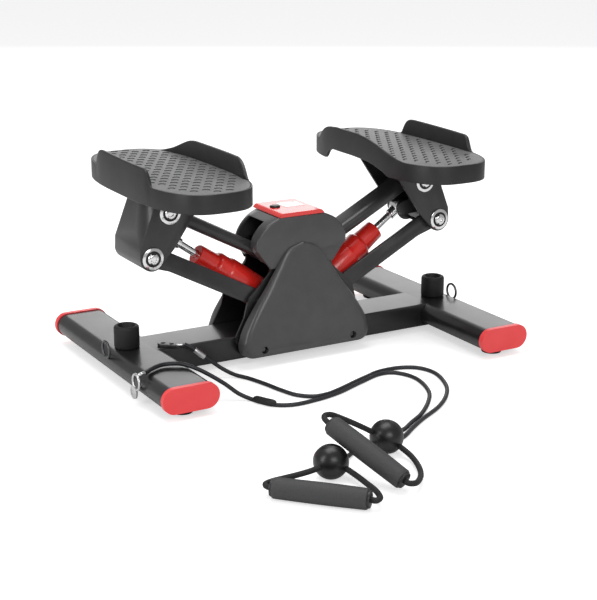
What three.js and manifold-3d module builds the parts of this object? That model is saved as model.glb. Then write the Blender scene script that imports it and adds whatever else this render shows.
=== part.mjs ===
// A mini stepper: two foot pedals on swinging arms, damped by hydraulic cylinders, over a low H-shaped
// base, with a step counter on top and two elastic pull bands lying in front of it.
// Millimetres, +Z up, +X to the user's right, toes towards -Y. The origin is on the floor, under the middle.
import * as THREE from 'three';
import { mergeVertices } from 'three/addons/utils/BufferGeometryUtils.js';
import Module from 'manifold-3d';

const wasm = await Module();
wasm.setup();

// ---- Driving dimensions ----
const GAP = 0.3;                    // air between pieces that touch

const BAR_X = 215.5;                // centre of each floor bar
const BAR_LENGTH = 318;
const BAR_WIDTH = 67;
const BAR_HEIGHT = 27.6;
const BAR_BOTTOM = 10;
const BAR_TOP = BAR_BOTTOM + BAR_HEIGHT;
const BAR_MID = BAR_BOTTOM + BAR_HEIGHT / 2;
const TUBE_WALL = 2;
const BEAM_DEPTH = 60;
const BEAM_HEIGHT = 30;
const CAP_THICKNESS = 6.7;
const CAP_GROWTH = 1.3;             // how far a cap stands proud of its tube all round
const CAP_PLUG = 18;
const FOOT_RADIUS = 13;
const FOOT_Y = 140;
const BUMPER_X = 221;
const BUMPER_RADIUS = 15.2;
const BUMPER_TOP = 65;
const RING_RADIUS = 10;
const RING_WIRE = 1.5;
const RING_X = 249.6;
const RING_Y = -4;
const RING_Z = 40;

const UPPER_INNER = { x: 32, z: 127 };      // fixed pivots, right-hand side
const UPPER_OUTER = { x: 177.8, z: 203.8 };
const LINK_DROP = { x: 23.3, z: -51.7 };    // from each upper pivot to the lower one of its pair
const LOWER_INNER = { x: UPPER_INNER.x + LINK_DROP.x, z: UPPER_INNER.z + LINK_DROP.z };
const LOWER_OUTER = { x: UPPER_OUTER.x + LINK_DROP.x, z: UPPER_OUTER.z + LINK_DROP.z };
const CYLINDER_FOOT = { x: 31, z: 70.5 };
const ROD_PIN = { x: 164.1, z: 166.2 };
const PIN_RADIUS = 5;
const PIN_HEAD = 1.8;
const SLEEVE_BORE = 5.3;

const TOWER_INSIDE = 30.3;          // half the space between the two upright plates
const TOWER_PLATE = 2.7;
const ARM_WIDTH = 35.2;
const ARM_HEIGHT = 16;
const SLEEVE_RADIUS = 10;
const LINK_FRONT = 28;
const LINK_THICKNESS = 5;
const LINK_HEIGHT = 21;
const BRACKET_HALF = 38;            // half the pedal bracket's outside width
const BRACKET_PLATE = 3;
const BRACKET_WEB = 2.4;
const BRACKET_EYE = 15.3;
const BRACKET_TOP = 239;

const CYLINDER_RADIUS = 19.7;
const ROD_RADIUS = 4.8;

const PEDAL_X = 158;
const PEDAL_Y = 7;
const PEDAL_HALF_WIDTH = 63;
const PEDAL_HALF_LENGTH = 148;
const PEDAL_POWER = 3;              // exponent of the rounded pedal outline
const TREAD_TOP = 244;
const SKIRT_BOTTOM = 222;
const PEDAL_WALL_TOP = 266;

const DOME_FRONT = 35.7;
const DOME_WALL = 2.4;
const COVER_BACK = 36.3;

const CORD_RADIUS = 2.5;
const BALL_RADIUS = 18;
const GRIP_RADIUS = 11;
const GRIP_LENGTH = 100;
const STRAP_RADIUS = 3;

const TURN = 2 * Math.PI;

// ---- Finishes ----
function paint(color, roughness, metalness) {
  return new THREE.MeshStandardMaterial({ color, roughness, metalness });
}

const FRAME_BLACK = paint(0x2b2b2d, 0.35, 0.2);
const STEEL_BLACK = paint(0x38383a, 0.4, 0.3);
const PLASTIC_GREY = paint(0x555556, 0.45, 0);
const PLASTIC_BLACK = paint(0x2e2d2e, 0.4, 0);
const TREAD_GREY = paint(0x9f9ea0, 0.75, 0);
const CAP_RED = paint(0xff4a4c, 0.4, 0);
const GLOSS_RED = paint(0xd8231c, 0.2, 0);
const RUBBER_BLACK = paint(0x0b0b0c, 0.8, 0);
const BRIGHT_STEEL = paint(0xe4e4e6, 0.15, 1);
const SCREEN_GREY = paint(0xb9bcb9, 0.25, 0);
const CORD_BLACK = paint(0x2a2c30, 0.6, 0);
const FOAM_GREY = paint(0x5c5d60, 0.9, 0);

// ---- Joining and cutting ----
function solid(geometry) {
  const plain = geometry.index ? geometry.toNonIndexed() : geometry.clone();
  plain.deleteAttribute('normal');
  plain.deleteAttribute('uv');
  const merged = mergeVertices(plain, 1e-4);
  const mesh = new wasm.Mesh({
    numProp: 3,
    vertProperties: new Float32Array(merged.attributes.position.array),
    triVerts: new Uint32Array(merged.index.array),
  });
  return new wasm.Manifold(mesh);
}

function geometryOf(manifold) {
  const mesh = manifold.getMesh();
  const geometry = new THREE.BufferGeometry();
  geometry.setAttribute('position', new THREE.BufferAttribute(mesh.vertProperties, 3));
  geometry.setIndex(new THREE.BufferAttribute(mesh.triVerts, 1));
  return geometry;
}

function join(...geometries) {
  return geometryOf(geometries.map(solid).reduce((whole, piece) => whole.add(piece)));
}

function common(one, other) {
  return geometryOf(solid(one).intersect(solid(other)));
}

function cut(geometry, ...tools) {
  return geometryOf(tools.map(solid).reduce((whole, tool) => whole.subtract(tool), solid(geometry)));
}

// ---- Outlines and basic forms ----
const piece = new THREE.Group();

function add(name, geometry, material) {
  const mesh = new THREE.Mesh(geometry, material);
  mesh.name = name;
  piece.add(mesh);
  return mesh;
}

function block(x0, x1, y0, y1, z0, z1) {
  const box = new THREE.BoxGeometry(x1 - x0, y1 - y0, z1 - z0);
  return box.translate((x0 + x1) / 2, (y0 + y1) / 2, (z0 + z1) / 2);
}

// A plate whose outline is drawn in X and Z, standing from y0 to y1.
function upright(outline, y0, y1, bevel = 0) {
  const geometry = new THREE.ExtrudeGeometry(outline, {
    depth: y1 - y0 - 2 * bevel,
    curveSegments: 6,
    bevelEnabled: bevel > 0,
    bevelThickness: bevel,
    bevelSize: bevel,
    bevelOffset: -bevel,
    bevelSegments: 1,
  });
  return geometry.rotateX(Math.PI / 2).translate(0, y1 - bevel, 0);
}

// A plate whose outline is drawn in Y and Z, standing from x0 to x1.
function sideways(outline, x0, x1) {
  const settings = { depth: x1 - x0, curveSegments: 6, bevelEnabled: false };
  const geometry = new THREE.ExtrudeGeometry(outline, settings);
  const axes = [new THREE.Vector3(0, 1, 0), new THREE.Vector3(0, 0, 1), new THREE.Vector3(1, 0, 0)];
  return geometry.applyMatrix4(new THREE.Matrix4().makeBasis(...axes)).translate(x0, 0, 0);
}

// A slab whose outline is drawn in X and Y, lying from z0 to z1.
function slab(outline, z0, z1) {
  const geometry = new THREE.ExtrudeGeometry(outline, { depth: z1 - z0, bevelEnabled: false });
  return geometry.translate(0, 0, z0);
}

// A round bar along Y.
function roundY(at, radius, y0, y1, sides = 16) {
  const geometry = new THREE.CylinderGeometry(radius, radius, y1 - y0, sides);
  return geometry.translate(at.x, (y0 + y1) / 2, at.z);
}

function flatOval(width, height, x = 0, z = 0) {
  const radius = height / 2;
  const reach = width / 2 - radius;
  const outline = new THREE.Shape();
  outline.absarc(x + reach, z, radius, -Math.PI / 2, Math.PI / 2);
  outline.absarc(x - reach, z, radius, Math.PI / 2, 1.5 * Math.PI);
  return outline;
}

// The outline with its corners rounded: each corner is [x, z, radius].
function rounded(corners) {
  const outline = new THREE.Shape();
  corners.forEach(([x, z, radius], index) => {
    const corner = new THREE.Vector2(x, z);
    const before = corners.at(index - 1);
    const after = corners[(index + 1) % corners.length];
    const toBefore = new THREE.Vector2(before[0] - x, before[1] - z).normalize();
    const toAfter = new THREE.Vector2(after[0] - x, after[1] - z).normalize();
    const halfAngle = Math.acos(THREE.MathUtils.clamp(toBefore.dot(toAfter), -1, 1)) / 2;
    const setback = radius / Math.tan(halfAngle);
    const start = corner.clone().addScaledVector(toBefore, setback);
    const end = corner.clone().addScaledVector(toAfter, setback);
    if (index === 0) {
      outline.moveTo(start.x, start.y);
    } else {
      outline.lineTo(start.x, start.y);
    }
    if (radius > 0) {
      outline.quadraticCurveTo(x, z, end.x, end.y);
    }
  });
  outline.closePath();
  return outline;
}

function mirrorX(geometry) {
  const mirrored = geometry.index ? geometry.toNonIndexed() : geometry.clone();
  mirrored.scale(-1, 1, 1);
  const position = mirrored.attributes.position;
  for (let corner = 0; corner < position.count; corner += 3) {
    const second = new THREE.Vector3().fromBufferAttribute(position, corner + 1);
    const third = new THREE.Vector3().fromBufferAttribute(position, corner + 2);
    position.setXYZ(corner + 1, third.x, third.y, third.z);
    position.setXYZ(corner + 2, second.x, second.y, second.z);
  }
  mirrored.deleteAttribute('normal');
  mirrored.deleteAttribute('uv');
  return mirrored;
}

// Every sided piece is drawn for the right-hand side, +X, and mirrored for the left.
function addPair(name, geometry, material) {
  add(`${name}_right`, geometry, material);
  add(`${name}_left`, mirrorX(geometry), material);
}

// ---- The base: two floor bars and the beam between them ----
function floorBar() {
  const half = BAR_LENGTH / 2;
  const tube = upright(flatOval(BAR_WIDTH, BAR_HEIGHT, BAR_X, BAR_MID), -half, half);
  const hollow = flatOval(BAR_WIDTH - 2 * TUBE_WALL, BAR_HEIGHT - 2 * TUBE_WALL, BAR_X, BAR_MID);
  return cut(tube, upright(hollow, -half - 1, half + 1));
}

function centreBeam() {
  const reach = BAR_X - BAR_WIDTH / 2 + BAR_HEIGHT / 2;
  const depth = BEAM_DEPTH / 2;
  const bottom = BAR_TOP - BEAM_HEIGHT;
  const tube = block(-reach, reach, -depth, depth, bottom, BAR_TOP);
  const inside = depth - TUBE_WALL;
  const hollow = block(-reach - 1, reach + 1, -inside, inside, bottom + TUBE_WALL, BAR_TOP - TUBE_WALL);
  const bars = [-1, 1].map((side) => {
    const grown = flatOval(BAR_WIDTH + 2 * GAP, BAR_HEIGHT + 2 * GAP, side * BAR_X, BAR_MID);
    return upright(grown, -depth - 1, depth + 1);
  });
  return cut(tube, hollow, ...bars);
}

function endCap(end) {
  const face = end * (BAR_LENGTH / 2 + GAP);
  const outer = end * (BAR_LENGTH / 2 + GAP + CAP_THICKNESS);
  const plugEnd = end * (BAR_LENGTH / 2 - CAP_PLUG);
  const shell = flatOval(BAR_WIDTH + 2 * CAP_GROWTH, BAR_HEIGHT + 2 * CAP_GROWTH, BAR_X, BAR_MID);
  const shrink = 2 * (TUBE_WALL + GAP);
  const plug = flatOval(BAR_WIDTH - shrink, BAR_HEIGHT - shrink, BAR_X, BAR_MID);
  const overlap = end * CAP_THICKNESS / 2;
  return join(
    upright(shell, Math.min(face, outer), Math.max(face, outer), 2),
    upright(plug, Math.min(plugEnd, face + overlap), Math.max(plugEnd, face + overlap)),
  );
}

function foot(y) {
  const height = BAR_BOTTOM - GAP;
  const profile = [
    [0, 0],
    [FOOT_RADIUS - 1.5, 0],
    [FOOT_RADIUS, 1.5],
    [FOOT_RADIUS - 0.5, height],
    [0, height],
  ];
  const pad = new THREE.LatheGeometry(profile.map(([r, z]) => new THREE.Vector2(r, z)), 16);
  return pad.rotateX(Math.PI / 2).translate(BAR_X, y, 0);
}

function stopBumper() {
  const base = BAR_TOP + GAP;
  const profile = [
    [0, base],
    [BUMPER_RADIUS - 1, base],
    [BUMPER_RADIUS, base + 1],
    [BUMPER_RADIUS, BUMPER_TOP - 3],
    [BUMPER_RADIUS - 1, BUMPER_TOP - 0.8],
    [BUMPER_RADIUS - 3, BUMPER_TOP],
    [BUMPER_RADIUS - 5, BUMPER_TOP - 1],
    [BUMPER_RADIUS - 6, BUMPER_TOP - 6],
    [0, BUMPER_TOP - 6],
  ];
  const rubber = new THREE.LatheGeometry(profile.map(([r, z]) => new THREE.Vector2(r, z)), 18);
  return rubber.rotateX(Math.PI / 2).translate(BUMPER_X, 0, 0);
}

function eyeRing() {
  const ring = new THREE.TorusGeometry(RING_RADIUS, RING_WIRE, 6, 16);
  return ring.rotateY(Math.PI / 2).translate(RING_X, RING_Y, RING_Z);
}

addPair('floor_bar', floorBar(), FRAME_BLACK);
add('centre_beam', centreBeam(), FRAME_BLACK);
for (const [end, place] of [[-1, 'front'], [1, 'rear']]) {
  addPair(`end_cap_${place}`, endCap(end), CAP_RED);
  addPair(`foot_${place}`, foot(end * FOOT_Y), RUBBER_BLACK);
}
addPair('stop_bumper', stopBumper(), RUBBER_BLACK);
addPair('eye_ring', eyeRing(), STEEL_BLACK);

// ---- The tower: two upright plates welded to the beam's sides, with the fixed pivots ----
const TOWER_FLANK = [[92, 28, 5], [92, 37, 4], [80, 60, 10], [74, 84, 10], [44, 112, 10], [43, 145, 8]];

function towerPlate(face) {
  const left = TOWER_FLANK.map(([x, z, r]) => [-x, z, r]).reverse();
  const outline = rounded([...TOWER_FLANK, ...left]);
  const y0 = Math.min(face * TOWER_INSIDE, face * (TOWER_INSIDE + TOWER_PLATE));
  const plate = upright(outline, y0, y0 + TOWER_PLATE);
  const past = y0 + TOWER_PLATE + 1;
  const hole = (at, side) => roundY({ x: side * at.x, z: at.z }, PIN_RADIUS + GAP, y0 - 1, past);
  const holes = [-1, 1].flatMap((side) => [
    hole(UPPER_INNER, side),
    hole(CYLINDER_FOOT, side),
    ...(face < 0 ? [hole(LOWER_INNER, side)] : []),
  ]);
  return cut(plate, ...holes);
}

// The cylinder's pin has a thin head outside each upright plate.
function cylinderPin() {
  const outside = TOWER_INSIDE + TOWER_PLATE;
  return join(
    roundY(CYLINDER_FOOT, PIN_RADIUS, -outside - GAP - 1, outside + GAP + 1),
    roundY(CYLINDER_FOOT, PIN_RADIUS + 3, -outside - GAP - PIN_HEAD, -outside - GAP),
    roundY(CYLINDER_FOOT, PIN_RADIUS + 3, outside + GAP, outside + GAP + PIN_HEAD),
  );
}

// The link runs in front only, so its pin is a short shoulder bolt through the front plate.
function linkPin() {
  const outside = TOWER_INSIDE + TOWER_PLATE;
  const inner = LINK_FRONT - LINK_THICKNESS;
  return join(
    roundY(LOWER_INNER, PIN_RADIUS, -outside - GAP - 1, -inner + 1),
    roundY(LOWER_INNER, PIN_RADIUS + 3, -outside - GAP - PIN_HEAD, -outside - GAP),
    roundY(LOWER_INNER, PIN_RADIUS + 3, -inner + GAP, -inner + GAP + PIN_HEAD),
  );
}

add('tower_plate_front', towerPlate(-1), FRAME_BLACK);
add('tower_plate_rear', towerPlate(1), FRAME_BLACK);
// The housing's walls keep the arm pins in, so they need no heads.
const ARM_PIN_REACH = TOWER_INSIDE + TOWER_PLATE;
addPair('arm_pin', roundY(UPPER_INNER, PIN_RADIUS, -ARM_PIN_REACH, ARM_PIN_REACH), BRIGHT_STEEL);
addPair('cylinder_pin', cylinderPin(), BRIGHT_STEEL);
addPair('link_pin', linkPin(), BRIGHT_STEEL);

// ---- The covers and the step counter ----
// Half of the cover's outline, from its lower corner up to its apex.
const COVER_FLANK = [[90.5, 30], [85, 46], [71.5, 69], [53, 94.5], [36, 120], [21, 139.5], [0, 147.5]];
const COVER_LEAN = 17;              // how much deeper the cover is at its foot than at its apex
const COVER_DEPTH = 20;
const SCREW_AT = { x: 63, z: 22.5 };
const SCREW_HOLE = 4.6;

function coverOutline(shrink) {
  const corners = COVER_FLANK.map(([x, z]) => new THREE.Vector2(x, z));
  const flank = new THREE.SplineCurve(corners).getPoints(9);
  const corner = new THREE.QuadraticBezierCurve(
    new THREE.Vector2(74, 11),
    new THREE.Vector2(91, 11),
    new THREE.Vector2(90.5, 30),
  ).getPoints(4);
  const right = [...corner, ...flank.slice(1)];
  const left = right.slice(0, -1).reverse().map((p) => new THREE.Vector2(-p.x, p.y));
  const middle = 75;
  const pull = (p) => new THREE.Vector2(
    p.x * (1 - shrink / 90),
    middle + (p.y - middle) * (1 - shrink / 68),
  );
  return [...right, ...left].map(pull);
}

// The cover is lofted through rings that shrink and lean as they go forward, then hollowed.
function coverLoft(rings) {
  const count = rings[0].length;
  const position = [];
  const index = [];
  for (const ring of rings) {
    for (const p of ring) {
      position.push(p.x, p.y, p.z);
    }
  }
  for (let level = 0; level < rings.length - 1; level += 1) {
    for (let i = 0; i < count; i += 1) {
      const a = level * count + i;
      const b = level * count + (i + 1) % count;
      index.push(a, b + count, b, a, a + count, b + count);
    }
  }
  for (const [level, flip] of [[0, false], [rings.length - 1, true]]) {
    const face = rings[level].map((p) => new THREE.Vector2(p.x, p.z));
    for (const [a, b, c] of THREE.ShapeUtils.triangulateShape(face, [])) {
      const base = level * count;
      const order = flip ? [a, c, b] : [a, b, c];
      index.push(...order.map((i) => base + i));
    }
  }
  const geometry = new THREE.BufferGeometry();
  geometry.setAttribute('position', new THREE.Float32BufferAttribute(position, 3));
  geometry.setIndex(index);
  return geometry;
}

function coverBody(inset) {
  const deep = (z) => {
    const share = THREE.MathUtils.clamp(1 - (z - 11) / 136.5, 0, 1);
    return COVER_DEPTH - COVER_LEAN + COVER_LEAN * share - inset;
  };
  const steps = [[0, 0], [0.6, 1], [0.88, 4.5], [1, 11]];
  const rings = steps.map(([share, shrink]) => coverOutline(shrink + inset).map((p) => {
    const back = inset > 0 && share === 0 ? -1 : 0;
    return new THREE.Vector3(p.x, COVER_BACK + back + deep(p.y) * share, p.y);
  }));
  return coverLoft(rings);
}

function cover(face) {
  const outside = coverBody(0);
  const inside = coverBody(2.5);
  const hole = (side) => roundY({ x: side * SCREW_AT.x, z: SCREW_AT.z }, SCREW_HOLE, 45, 65);
  const holes = [-1, 1].map(hole);
  const shell = cut(outside, inside, ...holes);
  return face > 0 ? shell : shell.rotateZ(Math.PI);
}

function coverScrew() {
  const front = COVER_BACK + 15;
  const at = { x: SCREW_AT.x, z: SCREW_AT.z };
  return roundY(at, SCREW_HOLE - GAP, -front, -front + 6, 16);
}

const DOME_PROFILE = [[45, 118], [63, 142], [63, 150], [58, 161], [47, 172.5], [32, 179.5]];

function domeOutline(inset) {
  const right = DOME_PROFILE.map(([x, z]) => new THREE.Vector2(x, z));
  const side = new THREE.SplineCurve(right.slice(1)).getPoints(8);
  const half = [right[0], ...side];
  const left = half.slice().reverse().map((p) => new THREE.Vector2(-p.x, p.y));
  const drawnIn = [...half, ...left].map((p) => {
    const down = inset * Math.max(0, (p.y - 130) / 50);
    return new THREE.Vector2(p.x * (1 - inset / 63), p.y - down);
  });
  return new THREE.Shape(drawnIn);
}

// The housing seen from above: square in front, drawn in towards the rear corners.
function domePlan(inset) {
  const half = [[64, -DOME_FRONT - 1], [64, 22], [60.5, 26], [55, 33], [49, DOME_FRONT]];
  const points = [...half, ...half.slice().reverse().map(([x, y]) => [-x, y])];
  return new THREE.Shape(points.map(([x, y]) => new THREE.Vector2(x - Math.sign(x) * inset, y)));
}

function displayHousing() {
  const tall = (inset) => slab(domePlan(inset), 100, 200);
  const shell = common(upright(domeOutline(0), -DOME_FRONT, DOME_FRONT), tall(0));
  const inner = DOME_FRONT - DOME_WALL;
  const hollow = common(upright(domeOutline(DOME_WALL), -inner, inner), tall(DOME_WALL));
  const open = block(-60, 60, -inner, inner, 110, 125);
  const slot = ARM_WIDTH / 2 + 1.8;
  const slots = [block(-70, -30, -slot, slot, 110, 174), block(30, 70, -slot, slot, 110, 174)];
  return cut(shell, hollow, open, ...slots);
}

const PANEL_Z = 179.5 + GAP;

function displayPanel() {
  const top = PANEL_Z + 5;
  const outline = rounded([[-32.5, PANEL_Z, 1], [32.5, PANEL_Z, 1], [28, top, 6], [-28, top, 6]]);
  const plate = upright(outline, -DOME_FRONT + 1, DOME_FRONT - 2);
  const pocket = block(-7 - GAP, 21 + GAP, -6 - GAP, 20 + GAP, PANEL_Z + 3, PANEL_Z + 8);
  const bore = new THREE.CylinderGeometry(6.5 + GAP, 6.5 + GAP, 20, 20).rotateX(Math.PI / 2);
  return cut(plate, pocket, bore.translate(-17, 3, PANEL_Z));
}

function displayScreen() {
  return block(-7, 21, -6, 20, PANEL_Z + 3 + GAP, PANEL_Z + 5.2);
}

// The button starts above the housing's roof by more than its travel.
function modeButton() {
  const profile = [[0, 1.6], [6.5, 1.6], [6.5, 6.4], [5.5, 7.2], [0, 7.4]];
  const button = new THREE.LatheGeometry(profile.map(([r, z]) => new THREE.Vector2(r, PANEL_Z + z)), 20);
  return button.rotateX(Math.PI / 2).translate(-17, 3, 0);
}

add('front_cover', cover(-1), PLASTIC_GREY);
add('rear_cover', cover(1), PLASTIC_GREY);
addPair('cover_screw', coverScrew(), STEEL_BLACK);
add('display_housing', displayHousing(), PLASTIC_GREY);
add('display_panel', displayPanel(), GLOSS_RED);
add('display_screen', displayScreen(), SCREEN_GREY);
add('mode_button', modeButton(), RUBBER_BLACK);

// ---- The swinging arms and the links below them ----
const ARM_LENGTH = Math.hypot(UPPER_OUTER.x - UPPER_INNER.x, UPPER_OUTER.z - UPPER_INNER.z);
const ARM_ANGLE = Math.atan2(UPPER_OUTER.z - UPPER_INNER.z, UPPER_OUTER.x - UPPER_INNER.x);
const ORIGIN = { x: 0, z: 0 };

// Pieces drawn along +X from a pivot are swung up to their angle and moved to that pivot.
function swing(geometry, angle, pivot) {
  return geometry.rotateY(-angle).translate(pivot.x, 0, pivot.z);
}

function upperArm() {
  const tip = { x: ARM_LENGTH, z: 0 };
  const tube = sideways(flatOval(ARM_WIDTH, ARM_HEIGHT), 0, ARM_LENGTH);
  const wall = 2 * TUBE_WALL;
  const hollow = sideways(flatOval(ARM_WIDTH - wall, ARM_HEIGHT - wall), -1, ARM_LENGTH + 1);
  const innerReach = TOWER_INSIDE - GAP;
  const outerReach = BRACKET_HALF - BRACKET_PLATE - GAP;
  const body = join(
    cut(tube, hollow),
    roundY(ORIGIN, SLEEVE_RADIUS, -innerReach, innerReach),
    roundY(tip, SLEEVE_RADIUS, -outerReach, outerReach),
  );
  const drain = new THREE.CylinderGeometry(3, 3, ARM_HEIGHT, 12).rotateX(Math.PI / 2);
  const arm = cut(
    body,
    roundY(ORIGIN, SLEEVE_BORE, -innerReach - 1, innerReach + 1),
    roundY(tip, SLEEVE_BORE, -outerReach - 1, outerReach + 1),
    drain.translate(24, 0, -ARM_HEIGHT / 2),
  );
  return swing(arm, ARM_ANGLE, UPPER_INNER);
}

// A flat bar whose middle line passes above its pivots, with a round eye at each end.
const LINK_EYE = 12.5;
const LINK_UNDER = 7;               // bar below the line of the pivots

function lowerLink() {
  const over = LINK_HEIGHT - LINK_UNDER;
  const bar = rounded([
    [0, -LINK_UNDER, 0],
    [ARM_LENGTH - 32, -LINK_UNDER, 6],
    [ARM_LENGTH - 1, -LINK_EYE, 0],
    [ARM_LENGTH - 1, LINK_EYE, 0],
    [ARM_LENGTH - 20, over, 6],
    [0, over, 0],
  ]);
  const tip = { x: ARM_LENGTH, z: 0 };
  const back = -LINK_FRONT + LINK_THICKNESS;
  const flat = join(
    upright(bar, -LINK_FRONT, back),
    roundY(ORIGIN, over, -LINK_FRONT, back),
    roundY(tip, LINK_EYE, -LINK_FRONT, back),
  );
  const bored = cut(
    flat,
    roundY(ORIGIN, SLEEVE_BORE, -LINK_FRONT - 1, back + 1),
    roundY(tip, SLEEVE_BORE, -LINK_FRONT - 1, back + 1),
  );
  return swing(bored, ARM_ANGLE, LOWER_INNER);
}

addPair('upper_arm', upperArm(), STEEL_BLACK);
addPair('lower_link', lowerLink(), STEEL_BLACK);

// ---- The pedal bracket: a channel with its web on the outside, rounded under the lower bolt ----
const BRACKET_INNER_EDGE = [[118.6, BRACKET_TOP], [140, 208], [172.8, 161]];
const BRACKET_OUTER_EDGE = [[216, 166], [198.6, 209], [186, BRACKET_TOP]];
const LUG_INSIDE = 9;
const LUG_THICKNESS = 4;
const ROD_PIN_RADIUS = 4;

const WEB_START = 1.62 * Math.PI;   // where round the lower eye the web ends

function bracketPlate() {
  const outline = new THREE.Shape();
  const [top, bend, low] = BRACKET_INNER_EDGE;
  outline.moveTo(...top);
  outline.lineTo(...bend);
  outline.lineTo(...low);
  outline.absarc(LOWER_OUTER.x, LOWER_OUTER.z, BRACKET_EYE, 1.3 * Math.PI, 2 * Math.PI);
  for (const [x, z] of BRACKET_OUTER_EDGE) {
    outline.lineTo(x, z);
  }
  return outline;
}

// The space inside the channel: open below and on the inner side, closed by the web and the top.
function bracketInside() {
  const outline = new THREE.Shape();
  const below = LOWER_OUTER.z - 2 * BRACKET_EYE;
  outline.moveTo(LOWER_INNER.x, BRACKET_TOP - BRACKET_PLATE);
  outline.lineTo(LOWER_INNER.x, below);
  outline.lineTo(LOWER_OUTER.x, below);
  outline.absarc(LOWER_OUTER.x, LOWER_OUTER.z, BRACKET_EYE - BRACKET_WEB, WEB_START, 2 * Math.PI);
  for (const [x, z] of BRACKET_OUTER_EDGE) {
    outline.lineTo(x - BRACKET_WEB, Math.min(z, BRACKET_TOP - BRACKET_PLATE));
  }
  return outline;
}

function bracketLug(face) {
  const y0 = Math.min(face * LUG_INSIDE, face * (LUG_INSIDE + LUG_THICKNESS));
  const { x, z } = ROD_PIN;
  const strip = rounded([[x, z - 9, 0], [x + 52, z - 4, 0], [x + 42, z + 22, 0], [x, z + 9, 0]]);
  return join(upright(strip, y0, y0 + LUG_THICKNESS), roundY(ROD_PIN, 9, y0, y0 + LUG_THICKNESS));
}

function pedalBracket() {
  const whole = upright(bracketPlate(), -BRACKET_HALF, BRACKET_HALF);
  const inside = BRACKET_HALF - BRACKET_PLATE;
  const channel = cut(whole, upright(bracketInside(), -inside, inside));
  const reach = LUG_INSIDE + LUG_THICKNESS;
  const pin = roundY(ROD_PIN, ROD_PIN_RADIUS, -reach, reach);
  const lugs = common(whole, join(bracketLug(-1), bracketLug(1), pin));
  const past = BRACKET_HALF + 1;
  return cut(
    join(channel, lugs),
    roundY(UPPER_OUTER, SLEEVE_BORE, -past, past),
    roundY(LOWER_OUTER, SLEEVE_BORE, -past, past),
  );
}

// A bolt through the bracket, with a large washer under its head and another under its nut.
function pivotBolt(at, ...extra) {
  const outside = BRACKET_HALF + GAP;
  const washer = 1.6;
  const ends = [-1, 1].flatMap((end) => {
    const span = (from, to) => [Math.min(end * from, end * to), Math.max(end * from, end * to)];
    return [
      roundY(at, 13.3, ...span(outside, outside + washer)),
      roundY(at, 7, ...span(outside + washer - 0.5, outside + washer + 2.6)),
    ];
  });
  return join(roundY(at, PIN_RADIUS, -outside - 1, outside + 1), ...ends, ...extra);
}

addPair('pedal_bracket', pedalBracket(), STEEL_BLACK);
addPair('upper_bolt', pivotBolt(UPPER_OUTER), BRIGHT_STEEL);
// The link is kept forward on its bolt by a spacer tube behind it.
const SPACER_START = -LINK_FRONT + LINK_THICKNESS + GAP;
const SPACER_END = BRACKET_HALF - BRACKET_PLATE - GAP;
const spacer = roundY(LOWER_OUTER, 8, SPACER_START, SPACER_END);
addPair('lower_bolt', pivotBolt(LOWER_OUTER, spacer), BRIGHT_STEEL);

// ---- The pedals ----
const SHELL_WALL = 3;
const SHELL_FLOOR = BRACKET_TOP + GAP;
const TREAD_BOTTOM = 242;

function pedalOutline(inset) {
  const corners = [];
  const steps = 36;
  const soften = (value) => Math.sign(value) * Math.abs(value) ** (2 / PEDAL_POWER);
  for (let step = 0; step < steps; step += 1) {
    const angle = TURN * step / steps;
    corners.push(new THREE.Vector2(
      PEDAL_X + (PEDAL_HALF_WIDTH - inset) * soften(Math.cos(angle)),
      PEDAL_Y + (PEDAL_HALF_LENGTH - inset) * soften(Math.sin(angle)),
    ));
  }
  return new THREE.Shape(corners);
}

// The two side walls rise from the pedal's edge; their outlines are drawn in Y and Z.
const WALL_FOOT = SKIRT_BOTTOM + 1;
const OUTER_WALL = [
  [-74, WALL_FOOT, 0],
  [76, WALL_FOOT, 0],
  [66, PEDAL_WALL_TOP, 9],
  [-63, PEDAL_WALL_TOP, 9],
];
// The inner walls differ: the left one stands high near the toes, the right one near the heel.
const INNER_WALL = {
  left: [
    [-95, WALL_FOOT, 0],
    [134, WALL_FOOT, 0],
    [128, 243, 6],
    [63, PEDAL_WALL_TOP, 14],
    [-70, PEDAL_WALL_TOP, 10],
    [-89, 243, 6],
  ],
  right: [
    [-112, WALL_FOOT, 0],
    [112, WALL_FOOT, 0],
    [103, 257, 5],
    [76, PEDAL_WALL_TOP, 12],
    [-8, PEDAL_WALL_TOP, 26],
    [-88, 243, 10],
  ],
};
// The notch in the skirt under the inner wall, its heights above the skirt's edge.
const NOTCH = [[-64, 0, 0], [-22, 14, 14], [70, 14, 6], [80, 0, 0]];

function pedalWalls(side, grown) {
  const edge = cut(
    slab(pedalOutline(0), WALL_FOOT, PEDAL_WALL_TOP + 1),
    slab(pedalOutline(4.5 + grown), WALL_FOOT - 1, PEDAL_WALL_TOP + 2),
  );
  const wider = (wall) => rounded(wall.map(([y, z, radius]) => [y + Math.sign(y) * grown, z, radius]));
  const past = PEDAL_HALF_WIDTH + 5;
  return [
    common(edge, sideways(wider(OUTER_WALL), PEDAL_X, PEDAL_X + past)),
    common(edge, sideways(wider(INNER_WALL[side]), PEDAL_X - past, PEDAL_X)),
  ];
}

function pedalShell(side) {
  const walls = pedalWalls(side, 0);
  const body = join(slab(pedalOutline(0), SKIRT_BOTTOM, TREAD_TOP), ...walls);
  const edge = PEDAL_X - PEDAL_HALF_WIDTH;
  const notch = rounded(NOTCH.map(([y, z, radius]) => [y, SKIRT_BOTTOM - 0.5 + z, radius]));
  return cut(
    body,
    slab(pedalOutline(SHELL_WALL), SKIRT_BOTTOM - 1, SHELL_FLOOR),
    cut(slab(pedalOutline(2), TREAD_BOTTOM, TREAD_TOP + 1), ...walls),
    sideways(notch, edge - 5, edge + 16),
  );
}

function pedalTread(side) {
  const insert = slab(pedalOutline(2 + GAP), TREAD_BOTTOM + GAP, TREAD_TOP + 0.4);
  return cut(insert, ...pedalWalls(side, GAP));
}

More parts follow.
